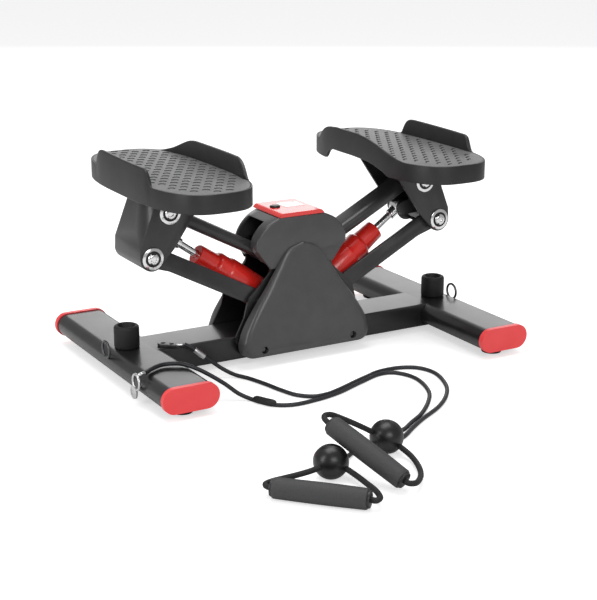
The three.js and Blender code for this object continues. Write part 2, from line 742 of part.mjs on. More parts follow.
// The right pedal sits a little further out on its bracket than the left one does.
const RIGHT_PEDAL_SHIFT = [5, -2, 0];

function addPedal(name, build, material) {
  add(`pedal_${name}_right`, build('right').translate(...RIGHT_PEDAL_SHIFT), material);
  add(`pedal_${name}_left`, mirrorX(build('left')), material);
}

addPedal('shell', pedalShell, PLASTIC_BLACK);
addPedal('tread', pedalTread, TREAD_GREY);

// ---- The hydraulic cylinders ----
const ROD_LENGTH = Math.hypot(ROD_PIN.x - CYLINDER_FOOT.x, ROD_PIN.z - CYLINDER_FOOT.z);
const ROD_ANGLE = Math.atan2(ROD_PIN.z - CYLINDER_FOOT.z, ROD_PIN.x - CYLINDER_FOOT.x);
const COLLAR_END = 119;
const BORE_END = 60;

// Turned round +X: each point of the profile is [distance along the axis, radius].
function turned(profile, sides = 16) {
  const lathe = new THREE.LatheGeometry(profile.map(([t, r]) => new THREE.Vector2(r, t)), sides);
  return lathe.rotateZ(-Math.PI / 2);
}

function cylinderBody() {
  const barrel = turned([
    [10, 0],
    [12, 12],
    [16, 17],
    [22, CYLINDER_RADIUS],
    [70, CYLINDER_RADIUS],
    [74, CYLINDER_RADIUS - 2],
    [90, CYLINDER_RADIUS - 2],
    [93, 14],
    [COLLAR_END - 1, 12.8],
    [COLLAR_END, 11.8],
    [COLLAR_END, ROD_RADIUS + GAP],
    [BORE_END, ROD_RADIUS + GAP],
    [BORE_END, 0],
  ]);
  const reach = TOWER_INSIDE - GAP;
  const neck = turned([[0, 0], [0, 7], [14, 7], [14, 0]]);
  const eye = join(roundY(ORIGIN, 9.5, -11, 11), roundY(ORIGIN, 7.5, -reach, reach), neck);
  const cylinder = cut(join(barrel, eye), roundY(ORIGIN, SLEEVE_BORE, -reach - 1, reach + 1));
  return swing(cylinder, ROD_ANGLE, CYLINDER_FOOT);
}

function pistonRod() {
  const tip = { x: ROD_LENGTH, z: 0 };
  const start = BORE_END + 16;
  const end = ROD_LENGTH - 7;
  const rod = turned([[start, 0], [start, ROD_RADIUS], [end, ROD_RADIUS], [end, 0]]);
  const neckStart = ROD_LENGTH - 18;
  const neck = turned([[neckStart, 0], [neckStart, 7], [ROD_LENGTH, 7.5], [ROD_LENGTH, 0]]);
  const eye = join(rod, roundY(tip, 10, -8, 8), neck);
  const bored = cut(eye, roundY(tip, ROD_PIN_RADIUS + 0.8, -9, 9));
  return swing(bored, ROD_ANGLE, CYLINDER_FOOT);
}

addPair('cylinder_body', cylinderBody(), GLOSS_RED);
addPair('piston_rod', pistonRod(), BRIGHT_STEEL);

// ---- The pull bands: each is an elastic cord with a metal fitting, a ball stop and a hand grip ----
// Points are X, Y and Z along each cord's middle, from its fitting to its ball.
const LYING = CORD_RADIUS + 0.1;
const BAND_A = [
  [-244, -106, 41], [-232, -97, 41], [-214, -90, 41], [-196, -98, 41], [-184, -114, 38], [-172, -124, 31],
  [-157, -131, 20], [-143, -139, 8], [-132, -149, LYING], [-126, -164, LYING], [-117, -179, LYING],
  [-100, -188, LYING], [-66, -187, LYING], [-35, -180, LYING], [5, -163, LYING], [43, -149, LYING],
  [58, -152, LYING], [68, -166, LYING], [71, -187, LYING], [59, -228, LYING], [39, -256, LYING],
  [9, -285, LYING], [-12, -299, LYING], [-32, -314, 3.5], [-50, -328, 8.5], [-67.5, -342.1, 15.3],
];
const BAND_B = [
  [-163, -38, 42], [-155, -46, 37], [-146, -50, 29], [-136, -53, 21], [-124, -58, 11], [-112, -68, 4],
  [-102, -84, LYING], [-94, -112, LYING], [-88, -140, LYING], [-80, -163, LYING], [-66, -176, LYING],
  [-50, -177.5, LYING], [-33.5, -173, LYING], [-14, -165, LYING], [5, -156.5, LYING], [25, -148.5, LYING],
  [45, -141, LYING], [74, -141, LYING], [94, -152, LYING], [102, -176, LYING], [89, -220, LYING],
  [68, -250, LYING], [40, -275, LYING], [2, -298, LYING], [-20, -313, LYING], [-45, -331, LYING],
  [-58, -334.5, LYING], [-85, -328, LYING], [-110, -338, LYING], [-130, -352, 4], [-150.9, -372.1, 15],
];
const BALL_A = [-81.5, -353.6, BALL_RADIUS + 0.1];
const BALL_B = [-166, -382, BALL_RADIUS + 0.1];
const GRIP_A = { middle: [-137.7, -404.3, 30.6], along: [33.6, -86.6, -37.2] };
const GRIP_B = { middle: [-206.5, -430, 11.3], along: [69, -72, 0] };
// Each strap leaves one end of the grip, passes through the ball and comes back to the other end.
const STRAP_A_FAR = [
  [-152, -367.5, 46.4], [-156.8, -355, 51.8], [-154.5, -349.5, 53.5], [-146, -346.5, 52.5],
  [-128, -346.5, 43.5], [-108, -349, 32], [-92, -351, 22],
];
const STRAP_A_NEAR = [
  [-78, -362, 14], [-73, -373, 9], [-73.5, -390, 6.5], [-81, -413, 6], [-92.5, -433.5, 7.5],
  [-105, -448, 9.5], [-114, -454.5, 11], [-120.5, -453, 12], [-122.5, -443.5, 13.8],
];
const STRAP_B_FAR = [
  [-234, -401.3, 11.3], [-243.5, -391.5, 11.6], [-242.5, -386, 12], [-233.5, -384, 12.5],
  [-221, -384.5, 13], [-206.5, -386, 14], [-194, -387.5, 15.5], [-183, -387.5, 17], [-175, -385.5, 17.5],
];
const STRAP_B_NEAR = [
  [-158.5, -394, 15], [-154, -401, 11.5], [-151.5, -412.5, 9], [-151.5, -428, 8], [-154, -445.5, 9],
  [-158.5, -459, 10.5], [-163, -468, 11.3], [-169, -470.5, 11.3], [-174, -464, 11.3], [-180, -457.5, 11.3],
];

const vectors = (points) => points.map((point) => new THREE.Vector3(...point));

function tubeAlong(points, radius, steps, sides) {
  const circle = [];
  for (let side = 0; side < sides; side += 1) {
    const angle = TURN * side / sides;
    circle.push(new THREE.Vector2(radius * Math.cos(angle), radius * Math.sin(angle)));
  }
  return new THREE.ExtrudeGeometry(new THREE.Shape(circle), {
    steps,
    extrudePath: new THREE.CatmullRomCurve3(vectors(points), false, 'centripetal'),
    bevelEnabled: false,
  });
}

function ball(at, radius, across) {
  return new THREE.SphereGeometry(radius, across, across / 2).rotateX(Math.PI / 2).translate(...at);
}

function handle(grip, ballAt, straps) {
  const turn = new THREE.Quaternion().setFromUnitVectors(
    new THREE.Vector3(0, 1, 0),
    new THREE.Vector3(...grip.along).normalize(),
  );
  const edge = GRIP_LENGTH / 2;
  const profile = [
    [0, -edge],
    [GRIP_RADIUS - 2, -edge],
    [GRIP_RADIUS, -edge + 3],
    [GRIP_RADIUS, edge - 3],
    [GRIP_RADIUS - 2, edge],
    [0, edge],
  ];
  const foam = new THREE.LatheGeometry(profile.map(([r, y]) => new THREE.Vector2(r, y)), 12);
  foam.applyQuaternion(turn).translate(...grip.middle);
  const webs = straps.map((points) => tubeAlong(points, STRAP_RADIUS, 16, 6));
  return cut(join(foam, ...webs), ball(ballAt, BALL_RADIUS + GAP, 16));
}

// A snap hook: a ring hung over the bar's edge, on a short shank at the cord's end.
function snapHook() {
  const [x, y, z] = BAND_A[0];
  const ringAt = [x - 9.5, y + 5, z - 11];
  const ring = new THREE.TorusGeometry(9, 1.6, 6, 16).rotateY(Math.PI / 2).translate(...ringAt);
  const neck = [[x - 1.2, y - 0.9, z], [x - 6, y - 1, z], [ringAt[0], ringAt[1] - 3, z - 3]];
  const shank = tubeAlong(neck, 2.2, 4, 6);
  const disc = new THREE.CylinderGeometry(8, 8, 3, 14).rotateZ(Math.PI / 2);
  return join(ring, shank, disc.translate(ringAt[0], ringAt[1] + 7, ringAt[2] - 14));
}

// A flat plate with two holes, lying on the beam.
function cordClip() {
  const outline = flatOval(30, 11);
  for (const x of [-8, 3]) {
    const hole = new THREE.Path();
    hole.absarc(x, 0, 3, 0, TURN, true);
    outline.holes.push(hole);
  }
  const plate = new THREE.ExtrudeGeometry(outline, { depth: 3, curveSegments: 6, bevelEnabled: false });
  const tongue = tubeAlong([[9, 0, 2], [14, 0, 2.6], [17.6, 0, 3.4]], 1.8, 3, 6);
  const [x, y] = BAND_B[0];
  return join(plate, tongue).rotateZ(-0.82).translate(x - 13.4, y + 14.4, BAR_TOP + GAP);
}

add('band_a_cord', tubeAlong(BAND_A, CORD_RADIUS, 38, 8), CORD_BLACK);
add('band_a_hook', snapHook(), BRIGHT_STEEL);
add('band_a_ball', ball(BALL_A, BALL_RADIUS, 16), RUBBER_BLACK);
add('band_a_handle', handle(GRIP_A, BALL_A, [STRAP_A_FAR, STRAP_A_NEAR]), FOAM_GREY);
add('band_b_cord', tubeAlong(BAND_B, CORD_RADIUS, 42, 8), CORD_BLACK);
add('band_b_clip', cordClip(), STEEL_BLACK);
add('band_b_ball', ball(BALL_B, BALL_RADIUS, 16), RUBBER_BLACK);
add('band_b_handle', handle(GRIP_B, BALL_B, [STRAP_B_FAR, STRAP_B_NEAR]), FOAM_GREY);

export default piece;
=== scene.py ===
# %% [markdown]
# # A mini stepper, with its pull bands
#
# The machine is a low black H of steel tube. Two pedals stand on parallel arms, each held up by a red
# hydraulic cylinder, and a step counter sits on top of the tower. Two elastic pull bands lie in front.
#
# The moving frame comes from the CAD model. This lesson builds what the eye sees around it: softened edges,
# moulded plastic, powder coat, foam and rubber. Lengths below are in millimetres until a mesh is made,
# and in metres from then on. +X is the user's right, toes point to -Y, and +Z is up.

import math
import bmesh
import bpy
import numpy as np
from mathutils import Matrix, Vector


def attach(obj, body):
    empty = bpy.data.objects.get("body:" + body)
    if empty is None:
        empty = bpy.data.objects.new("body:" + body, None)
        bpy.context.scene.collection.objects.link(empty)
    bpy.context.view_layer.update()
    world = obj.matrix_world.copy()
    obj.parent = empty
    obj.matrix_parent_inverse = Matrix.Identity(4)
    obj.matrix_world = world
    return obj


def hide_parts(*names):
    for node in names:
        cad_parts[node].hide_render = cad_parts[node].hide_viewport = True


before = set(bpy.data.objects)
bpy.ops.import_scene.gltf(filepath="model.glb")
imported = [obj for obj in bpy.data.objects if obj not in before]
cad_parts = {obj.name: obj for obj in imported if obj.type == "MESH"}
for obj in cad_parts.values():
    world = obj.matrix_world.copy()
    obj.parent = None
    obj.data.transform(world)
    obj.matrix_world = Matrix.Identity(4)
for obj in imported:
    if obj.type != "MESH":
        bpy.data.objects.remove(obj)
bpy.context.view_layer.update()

# %% [markdown]
# ## The camera
#
# It looks from the front left, a little above the machine, through a long lens, so that the two floor bars
# stay almost parallel.

# %% Camera
AZIMUTH, ELEVATION = math.radians(-29.72), math.radians(16.55)
camera_data = bpy.data.cameras.new("camera")
camera_data.sensor_fit = "HORIZONTAL"
camera_data.sensor_width = 36
camera_data.lens = 87.59
camera = bpy.data.objects.new("camera", camera_data)
camera.location = (-0.8599, -1.5323, 0.5853)
camera.rotation_euler = (math.pi / 2 - ELEVATION, 0, AZIMUTH)
bpy.context.scene.collection.objects.link(camera)
bpy.context.scene.camera = camera
bpy.context.scene.view_settings.view_transform = "Standard"
print("camera at", tuple(camera.location))

# %% [markdown]
# ## Small helpers
#
# A material here is a Principled shader whose inputs can be fed by shader groups. Two groups are shared.
# *Surface grain* is the fine unevenness of paint, plastic or foam: it gives a normal and a slightly changing
# roughness. *Tone drift* makes a colour wander a little between two tones, as real mouldings and coatings do,
# and settles pale dust on faces that look up.

# %% Shader groups
COAT_ROUGHNESS = 0.08


def wire(links, *routes):
    """Links given as (node, its output, next node, its input)."""
    for source, output, target, entry in routes:
        links.new(source.outputs[output], target.inputs[entry])


def preset(node, values):
    """Fills a node's unlinked inputs."""
    for label, value in values.items():
        node.inputs[label].default_value = value


def new_group(name, inputs, outputs):
    group = bpy.data.node_groups.new(name, "ShaderNodeTree")
    for label, kind, value in inputs:
        socket = group.interface.new_socket(name=label, in_out="INPUT", socket_type=kind)
        socket.default_value = value
    for label, kind in outputs:
        group.interface.new_socket(name=label, in_out="OUTPUT", socket_type=kind)
    return group, group.nodes.new("NodeGroupInput"), group.nodes.new("NodeGroupOutput")


def grain_group():
    """Object-space noise as a bump, and as a small change of roughness."""
    group, start, end = new_group(
        "Surface grain",
        [("Scale", "NodeSocketFloat", 900.0), ("Height", "NodeSocketFloat", 0.05),
         ("Roughness", "NodeSocketFloat", 0.4), ("Spread", "NodeSocketFloat", 0.08)],
        [("Normal", "NodeSocketVector"), ("Roughness", "NodeSocketFloat")],
    )
    nodes, links = group.nodes, group.links
    where = nodes.new("ShaderNodeTexCoord")
    fine = nodes.new("ShaderNodeTexNoise")
    broad = nodes.new("ShaderNodeTexNoise")
    broad.inputs["Scale"].default_value = 24
    bump = nodes.new("ShaderNodeBump")
    bump.inputs["Distance"].default_value = 0.0004
    swing = nodes.new("ShaderNodeMath")
    swing.operation = "SUBTRACT"
    swing.inputs[1].default_value = 0.5
    total = nodes.new("ShaderNodeMath")
    total.operation = "MULTIPLY_ADD"
    for texture in (fine, broad):
        links.new(where.outputs["Object"], texture.inputs["Vector"])
    wire(
        links,
        (start, "Scale", fine, "Scale"),
        (start, "Height", bump, "Strength"),
        (fine, "Fac", bump, "Height"),
        (broad, "Fac", swing, 0),
        (swing, 0, total, 0),
        (start, "Spread", total, 1),
        (start, "Roughness", total, 2),
        (bump, "Normal", end, "Normal"),
        (total, 0, end, "Roughness"),
    )
    return group


def tone_group():
    """A colour that drifts between two tones, with pale dust where the surface faces up."""
    group, start, end = new_group(
        "Tone drift",
        [("Tone", "NodeSocketColor", (0.1, 0.1, 0.1, 1)),
         ("Other", "NodeSocketColor", (0.12, 0.12, 0.12, 1)),
         ("Scale", "NodeSocketFloat", 60.0), ("Dust", "NodeSocketFloat", 0.0)],
        [("Color", "NodeSocketColor")],
    )
    nodes, links = group.nodes, group.links
    where = nodes.new("ShaderNodeTexCoord")
    noise = nodes.new("ShaderNodeTexNoise")
    noise.inputs["Detail"].default_value = 6
    ramp = nodes.new("ShaderNodeMapRange")
    preset(ramp, {"From Min": 0.35, "From Max": 0.65})
    mix = nodes.new("ShaderNodeMix")
    mix.data_type = "RGBA"
    shape = nodes.new("ShaderNodeNewGeometry")
    split = nodes.new("ShaderNodeSeparateXYZ")
    upward = nodes.new("ShaderNodeMapRange")
    upward.inputs["From Min"].default_value = 0.6
    dusty = nodes.new("ShaderNodeMath")
    dusty.operation = "MULTIPLY"
    cover = nodes.new("ShaderNodeMix")
    cover.data_type = "RGBA"
    cover.inputs["B"].default_value = (0.62, 0.61, 0.6, 1)
    wire(
        links,
        (where, "Object", noise, "Vector"),
        (start, "Scale", noise, "Scale"),
        (noise, "Fac", ramp, "Value"),
        (ramp, "Result", mix, "Factor"),
        (start, "Tone", mix, "A"),
        (start, "Other", mix, "B"),
        (shape, "Normal", split, 0),
        (split, "Z", upward, "Value"),
        (upward, "Result", dusty, 0),
        (start, "Dust", dusty, 1),
        (dusty, 0, cover, "Factor"),
        (mix, "Result", cover, "A"),
        (cover, "Result", end, "Color"),
    )
    return group


GRAIN, TONE = grain_group(), tone_group()
print("shader groups:", GRAIN.name, "and", TONE.name)

# %% Materials from the groups
def finish(
    name, tone, other, roughness, grain=(900, 0.05), spread=0.08, scale=60, dust=0.0, metal=0.0, coat=0.0,
):
    """A Principled material fed by both groups. Grain is its scale and height."""
    material = bpy.data.materials.new(name)
    material.use_nodes = True
    nodes, links = material.node_tree.nodes, material.node_tree.links
    shader = nodes["Principled BSDF"]
    preset(shader, {"Metallic": metal, "Coat Weight": coat, "Coat Roughness": COAT_ROUGHNESS})
    drift, surface = (nodes.new("ShaderNodeGroup") for _ in range(2))
    drift.node_tree, surface.node_tree = TONE, GRAIN
    preset(drift, {"Tone": (*tone, 1), "Other": (*other, 1), "Scale": scale, "Dust": dust})
    preset(surface, {"Scale": grain[0], "Height": grain[1], "Roughness": roughness, "Spread": spread})
    wire(
        links,
        (drift, "Color", shader, "Base Color"),
        (surface, "Normal", shader, "Normal"),
        (surface, "Roughness", shader, "Roughness"),
    )
    return material


# %% [markdown]
# The frame is powder coated: nearly black, with a soft sheen and a faint orange peel. The covers are satin
# plastic with a fine spark-eroded texture. Caps and cylinders share a warm red, the cylinders under gloss.
# Rubber, foam and cord are dark and dull, each with its own size of grain.

# %% The finishes
POWDER_COAT = finish(
    "powder coat", (0.008, 0.008, 0.009), (0.012, 0.012, 0.013),
    0.34, (420, 0.05), coat=0.25,
)
BLACK_PAINT = finish(
    "black paint", (0.024, 0.023, 0.025), (0.030, 0.029, 0.031),
    0.36, (600, 0.06), coat=0.15,
)
GREY_PLASTIC = finish(
    "satin grey plastic", (0.060, 0.060, 0.061), (0.068, 0.068, 0.069),
    0.36, (1500, 0.06), coat=0.15,
)
BLACK_PLASTIC = finish(
    "satin black plastic", (0.012, 0.012, 0.013), (0.017, 0.016, 0.018),
    0.40, (1400, 0.08),
)
CAP_RED = finish("cap red", (0.86, 0.055, 0.06), (0.90, 0.07, 0.075), 0.38, (1200, 0.05), scale=30)
PANEL_RED = finish("panel red", (0.80, 0.035, 0.03), (0.84, 0.045, 0.04), 0.22, (700, 0.02), coat=0.4)
GLOSS_RED = finish("cylinder red", (0.72, 0.018, 0.012), (0.80, 0.026, 0.018), 0.28, (300, 0.06), coat=0.4)
BLACK_RUBBER = finish("black rubber", (0.003, 0.003, 0.003), (0.005, 0.005, 0.005), 0.62, (1100, 0.15))
BALL_PLASTIC = finish("ball plastic", (0.004, 0.004, 0.005), (0.007, 0.007, 0.008), 0.34, (500, 0.10))
CORD_RUBBER = finish("cord rubber", (0.010, 0.011, 0.014), (0.015, 0.016, 0.020), 0.5, (1600, 0.12))
WEBBING = finish("webbing", (0.006, 0.006, 0.007), (0.011, 0.011, 0.012), 0.7, (2400, 0.5))
FOAM = finish("foam", (0.036, 0.036, 0.038), (0.048, 0.048, 0.050), 0.62, (2600, 0.35), scale=900)
BRIGHT_STEEL = finish("bright steel", (0.78, 0.78, 0.79), (0.86, 0.86, 0.87), 0.16, (900, 0.02), metal=1.0)
DARK_STEEL = finish("dark steel", (0.10, 0.10, 0.105), (0.14, 0.14, 0.145), 0.32, (900, 0.04), metal=1.0)
SILVER = finish("cast silver", (0.60, 0.60, 0.61), (0.72, 0.72, 0.73), 0.30, (500, 0.12), metal=1.0)
print(len(bpy.data.materials), "finishes")

# %% [markdown]
# The pedal treads are a dark grey plastic with fine dark and light specks, which hide scuffs. The specks are
# a fast noise pushed through a steep ramp. The screen is a grey liquid-crystal window.

# %% Speckled tread and the screen
def speckled():
    material = finish(
        "speckled tread", (0.125, 0.125, 0.128), (0.145, 0.145, 0.148), 0.55, (1500, 0.20), dust=0.03,
    )
    nodes, links = material.node_tree.nodes, material.node_tree.links
    shader = nodes["Principled BSDF"]
    base = shader.inputs["Base Color"].links[0].from_socket
    where = nodes.new("ShaderNodeTexCoord")
    specks = nodes.new("ShaderNodeTexNoise")
    specks.inputs["Scale"].default_value = 1300
    ramp = nodes.new("ShaderNodeValToRGB")
    low, high = ramp.color_ramp.elements
    low.position, low.color = 0.36, (0.55, 0.55, 0.55, 1)
    high.position, high.color = 0.64, (1.25, 1.25, 1.25, 1)
    blend = nodes.new("ShaderNodeMix")
    blend.data_type = "RGBA"
    blend.blend_type = "MULTIPLY"
    blend.inputs["Factor"].default_value = 0.8
    wire(
        links,
        (where, "Object", specks, "Vector"),
        (specks, "Fac", ramp, "Fac"),
    )
    links.new(base, blend.inputs["A"])
    wire(
        links,
        (ramp, "Color", blend, "B"),
        (blend, "Result", shader, "Base Color"),
    )
    return material


TREAD = speckled()
SCREEN = finish("screen", (0.50, 0.52, 0.50), (0.56, 0.58, 0.56), 0.18, (400, 0.01), coat=0.6)

# %% [markdown]
# ## Turning drawings into meshes
#
# Almost every part is one of three things: a plate cut from an outline, a turned part, or a tube along a
# path. Each helper takes millimetres, closes the mesh, points its faces outward and softens its edges, since
# real edges always catch a thin line of light.

# %% Mesh helpers
MM, PER_METRE = 0.001, 1000


def add_object(name, data):
    obj = bpy.data.objects.new(name, data)
    bpy.context.scene.collection.objects.link(obj)
    return obj


def to_object(name, bm, material, angle=32):
    """Turns a millimetre bmesh into a shaded object in metres."""
    bmesh.ops.remove_doubles(bm, verts=bm.verts, dist=1e-4)
    bmesh.ops.recalc_face_normals(bm, faces=bm.faces)
    bmesh.ops.scale(bm, vec=(MM, MM, MM), verts=bm.verts)
    mesh = bpy.data.meshes.new(name)
    bm.to_mesh(mesh)
    bm.free()
    mesh.materials.append(material)
    obj = add_object(name, mesh)
    shade(obj, angle)
    return obj


def shade(obj, angle=32):
    mesh = obj.data
    mesh.polygons.foreach_set("use_smooth", [True] * len(mesh.polygons))
    mesh.set_sharp_from_angle(angle=math.radians(angle))
    mesh.update()


AXES = {"X": (Vector((0, 1, 0)), Vector((0, 0, 1)), Vector((1, 0, 0))),
        "Y": (Vector((1, 0, 0)), Vector((0, 0, 1)), Vector((0, 1, 0))),
        "Z": (Vector((1, 0, 0)), Vector((0, 1, 0)), Vector((0, 0, 1)))}


def plate(name, outline, axis, low, high, material, soft=0.0, place=None, angle=32):
    """An outline carried along an axis, with its rims rounded by soft."""
    across, up, along = AXES[axis]
    bm = bmesh.new()
    rings = []
    for level in (low, high):
        rings.append([bm.verts.new(across * u + up * v + along * level) for u, v in outline])
    count = len(outline)
    for i in range(count):
        j = (i + 1) % count
        bm.faces.new((rings[0][i], rings[0][j], rings[1][j], rings[1][i]))
    caps = [bm.faces.new(ring) for ring in rings]
    if soft:
        rims = {edge for cap in caps for edge in cap.edges}
        bmesh.ops.bevel(bm, geom=list(rims), offset=soft, segments=3, profile=0.5, affect="EDGES")
    if place:
        bm.transform(place)
    return to_object(name, bm, material, angle)


def turned(name, profile, start, direction, material, sides=64, angle=40):
    """A profile of (distance, radius) pairs turned round an axis."""
    turn = Vector((0, 0, 1)).rotation_difference(Vector(direction))
    bm = bmesh.new()
    rings = []
    for distance, radius in profile:
        if radius == 0:
            rings.append([bm.verts.new((0, 0, distance))] * sides)
        else:
            rings.append([
                bm.verts.new((radius * math.cos(turn_at), radius * math.sin(turn_at), distance))
                for turn_at in (math.tau * i / sides for i in range(sides))
            ])
    for one, two in zip(rings, rings[1:]):
        for i in range(sides):
            j = (i + 1) % sides
            corners = list(dict.fromkeys((one[i], one[j], two[j], two[i])))
            if len(corners) > 2:
                bm.faces.new(corners)
    bm.transform(Matrix.Translation(Vector(start)) @ turn.to_matrix().to_4x4())
    return to_object(name, bm, material, angle)


def rod_profile(radius, low, high):
    """A plain cylinder, as a profile for a turned part."""
    return [(low, 0), (low, radius), (high, radius), (high, 0)]


def boolean(obj, tools, operation="DIFFERENCE", angle=32):
    """Cuts or joins with other objects, which are then removed."""
    for tool in tools:
        modifier = obj.modifiers.new("carve", "BOOLEAN")
        modifier.operation = operation
        modifier.solver = "EXACT"
        modifier.object = tool
    bpy.context.view_layer.update()
    graph = bpy.context.evaluated_depsgraph_get()
    made = bpy.data.meshes.new_from_object(obj.evaluated_get(graph))
    obj.modifiers.clear()
    obj.data = made
    for tool in tools:
        bpy.data.objects.remove(tool)
    shade(obj, angle)
    return obj


def flip(mesh):
    """Mirrors a mesh from side to side, with its faces still outward."""
    bm = bmesh.new()
    bm.from_mesh(mesh)
    bmesh.ops.scale(bm, vec=(-1, 1, 1), verts=bm.verts)
    bmesh.ops.reverse_faces(bm, faces=bm.faces)
    bm.to_mesh(mesh)
    bm.free()


def mirrored(obj, name):
    """The left-hand copy of a right-hand piece."""
    mesh = obj.data.copy()
    mesh.name = name
    flip(mesh)
    return add_object(name, mesh)


def settle(obj, body, *nodes, slot=None):
    """The piece rides on a CAD body and stands for CAD nodes."""
    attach(obj, body)
    if nodes:
        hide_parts(*nodes)
    return obj


def settle_pair(obj, name, body, slot, *nodes):
    """A right-hand piece and its mirror image, each on its own side's body."""
    for side, piece in (("left", mirrored(obj, f"{name}_left")), ("right", obj)):
        piece.name = f"{name}_{side}"
        own = body if body == "frame" else f"{side}_{body}"
        settle(piece, own, *[f"{node}_{side}" for node in nodes], slot=slot)


# %% [markdown]
# Outlines are drawn as corner points with a rounding radius, as ovals, or by rule.

# %% Outlines
def rounded(corners, steps=8):
    """A polygon whose (x, y, radius) corners are rounded off."""
    outline = []
    for index, (x, y, radius) in enumerate(corners):
        corner = Vector((x, y))
        before = (Vector(corners[index - 1][:2]) - corner).normalized()
        after = (Vector(corners[(index + 1) % len(corners)][:2]) - corner).normalized()
        if radius == 0:
            outline.append((x, y))
            continue
        back = radius / math.tan(before.angle(after) / 2)
        start, end = corner + before * back, corner + after * back
        for step in range(steps + 1):
            t = step / steps
            point = start * (1 - t) ** 2 + corner * 2 * t * (1 - t) + end * t * t
            outline.append((point.x, point.y))
    return outline


def flat_oval(width, height, x=0.0, z=0.0, steps=16):
    """Two straight sides joined by half circles."""
    radius, reach = height / 2, width / 2 - height / 2
    outline = []
    for centre, first in ((x + reach, -90), (x - reach, 90)):
        for step in range(steps + 1):
            angle = math.radians(first + 180 * step / steps)
            outline.append((centre + radius * math.cos(angle), z + radius * math.sin(angle)))
    return outline


def circle(x, z, radius, steps=32):
    return [(x + radius * math.cos(math.tau * i / steps), z + radius * math.sin(math.tau * i / steps))
            for i in range(steps)]


def smooth_path(points, per_span=8):
    """A centripetal Catmull-Rom curve through given points."""
    points = [Vector(p) for p in points]
    ends = [points[0] * 2 - points[1], *points, points[-1] * 2 - points[-2]]
    path = []
    for a, b, c, d in zip(ends, ends[1:], ends[2:], ends[3:]):
        t = [0]
        for p, q in ((a, b), (b, c), (c, d)):
            t.append(t[-1] + max((q - p).length, 1e-6) ** 0.5)
        for step in range(per_span):
            s = t[1] + (t[2] - t[1]) * step / per_span
            ab = a * ((t[1] - s) / (t[1] - t[0])) + b * ((s - t[0]) / (t[1] - t[0]))
            bc = b * ((t[2] - s) / (t[2] - t[1])) + c * ((s - t[1]) / (t[2] - t[1]))
            cd = c * ((t[3] - s) / (t[3] - t[2])) + d * ((s - t[2]) / (t[3] - t[2]))
            abc = ab * ((t[2] - s) / (t[2] - t[0])) + bc * ((s - t[0]) / (t[2] - t[0]))
            bcd = bc * ((t[3] - s) / (t[3] - t[1])) + cd * ((s - t[1]) / (t[3] - t[1]))
            path.append(abc * ((t[2] - s) / (t[2] - t[1])) + bcd * ((s - t[1]) / (t[2] - t[1])))
    return [*path, points[-1]]


# %% [markdown]
# ## The pull bands
#
# Each band is an elastic rubber cord from a metal fitting to a ball stop. The cords are drawn through listed
# points, as a cord lies where it was dropped. The first hangs over the left bar, and the second starts from
# a flat clip on the beam. Both sweep round together and end at their balls.

# %% Cords
CORD_DIAMETER = 0.005
CORD_A = [
    (-0.244, -0.106, 0.041), (-0.232, -0.097, 0.041), (-0.214, -0.090, 0.041), (-0.196, -0.098, 0.041),
    (-0.184, -0.114, 0.038), (-0.172, -0.124, 0.031), (-0.157, -0.131, 0.020), (-0.143, -0.139, 0.008),
    (-0.132, -0.149, 0.0026), (-0.126, -0.164, 0.0026), (-0.117, -0.179, 0.0026), (-0.100, -0.188, 0.0026),
    (-0.066, -0.187, 0.0026), (-0.035, -0.180, 0.0026), (0.005, -0.163, 0.0026), (0.043, -0.149, 0.0026),
    (0.058, -0.152, 0.0026), (0.068, -0.166, 0.0026), (0.071, -0.187, 0.0026), (0.059, -0.228, 0.0026),
    (0.039, -0.256, 0.0026), (0.009, -0.285, 0.0026), (-0.012, -0.299, 0.0026), (-0.032, -0.314, 0.0035),
    (-0.050, -0.328, 0.0085), (-0.0675, -0.3421, 0.0153),
]
CORD_B = [
    (-0.163, -0.038, 0.042), (-0.155, -0.046, 0.037), (-0.146, -0.050, 0.029), (-0.136, -0.053, 0.021),
    (-0.124, -0.058, 0.011), (-0.112, -0.068, 0.004), (-0.102, -0.084, 0.0026), (-0.094, -0.112, 0.0026),
    (-0.088, -0.140, 0.0026), (-0.080, -0.163, 0.0026), (-0.066, -0.176, 0.0026), (-0.050, -0.1775, 0.0026),
    (-0.0335, -0.173, 0.0026), (-0.014, -0.165, 0.0026), (0.005, -0.1565, 0.0026), (0.025, -0.1485, 0.0026),
    (0.045, -0.141, 0.0026), (0.074, -0.141, 0.0026), (0.094, -0.152, 0.0026), (0.102, -0.176, 0.0026),
    (0.089, -0.220, 0.0026), (0.068, -0.250, 0.0026), (0.040, -0.275, 0.0026), (0.002, -0.298, 0.0026),
    (-0.020, -0.313, 0.0026), (-0.045, -0.331, 0.0026), (-0.058, -0.3345, 0.0026), (-0.085, -0.328, 0.0026),
    (-0.110, -0.338, 0.0026), (-0.130, -0.352, 0.004), (-0.1509, -0.3721, 0.0150),
]


def cord_curve(name, points):
    """A round cord as one open curve, and its length."""
    path = smooth_path(points)
    data = bpy.data.curves.new(name, "CURVE")
    data.dimensions = "3D"
    data.bevel_depth = CORD_DIAMETER / 2
    data.bevel_resolution = 5
    data.use_fill_caps = True
    spline = data.splines.new("POLY")
    spline.points.add(len(path) - 1)
    for point, at in zip(spline.points, path):
        point.co = (*at, 1)
    data.materials.append(CORD_RUBBER)
    return add_object(name, data), sum((q - p).length for p, q in zip(path, path[1:]))


cord_a, length_a = cord_curve("cord_a", CORD_A)
cord_b, length_b = cord_curve("cord_b", CORD_B)
print(f"cords {length_a:.3f} m and {length_b:.3f} m long")
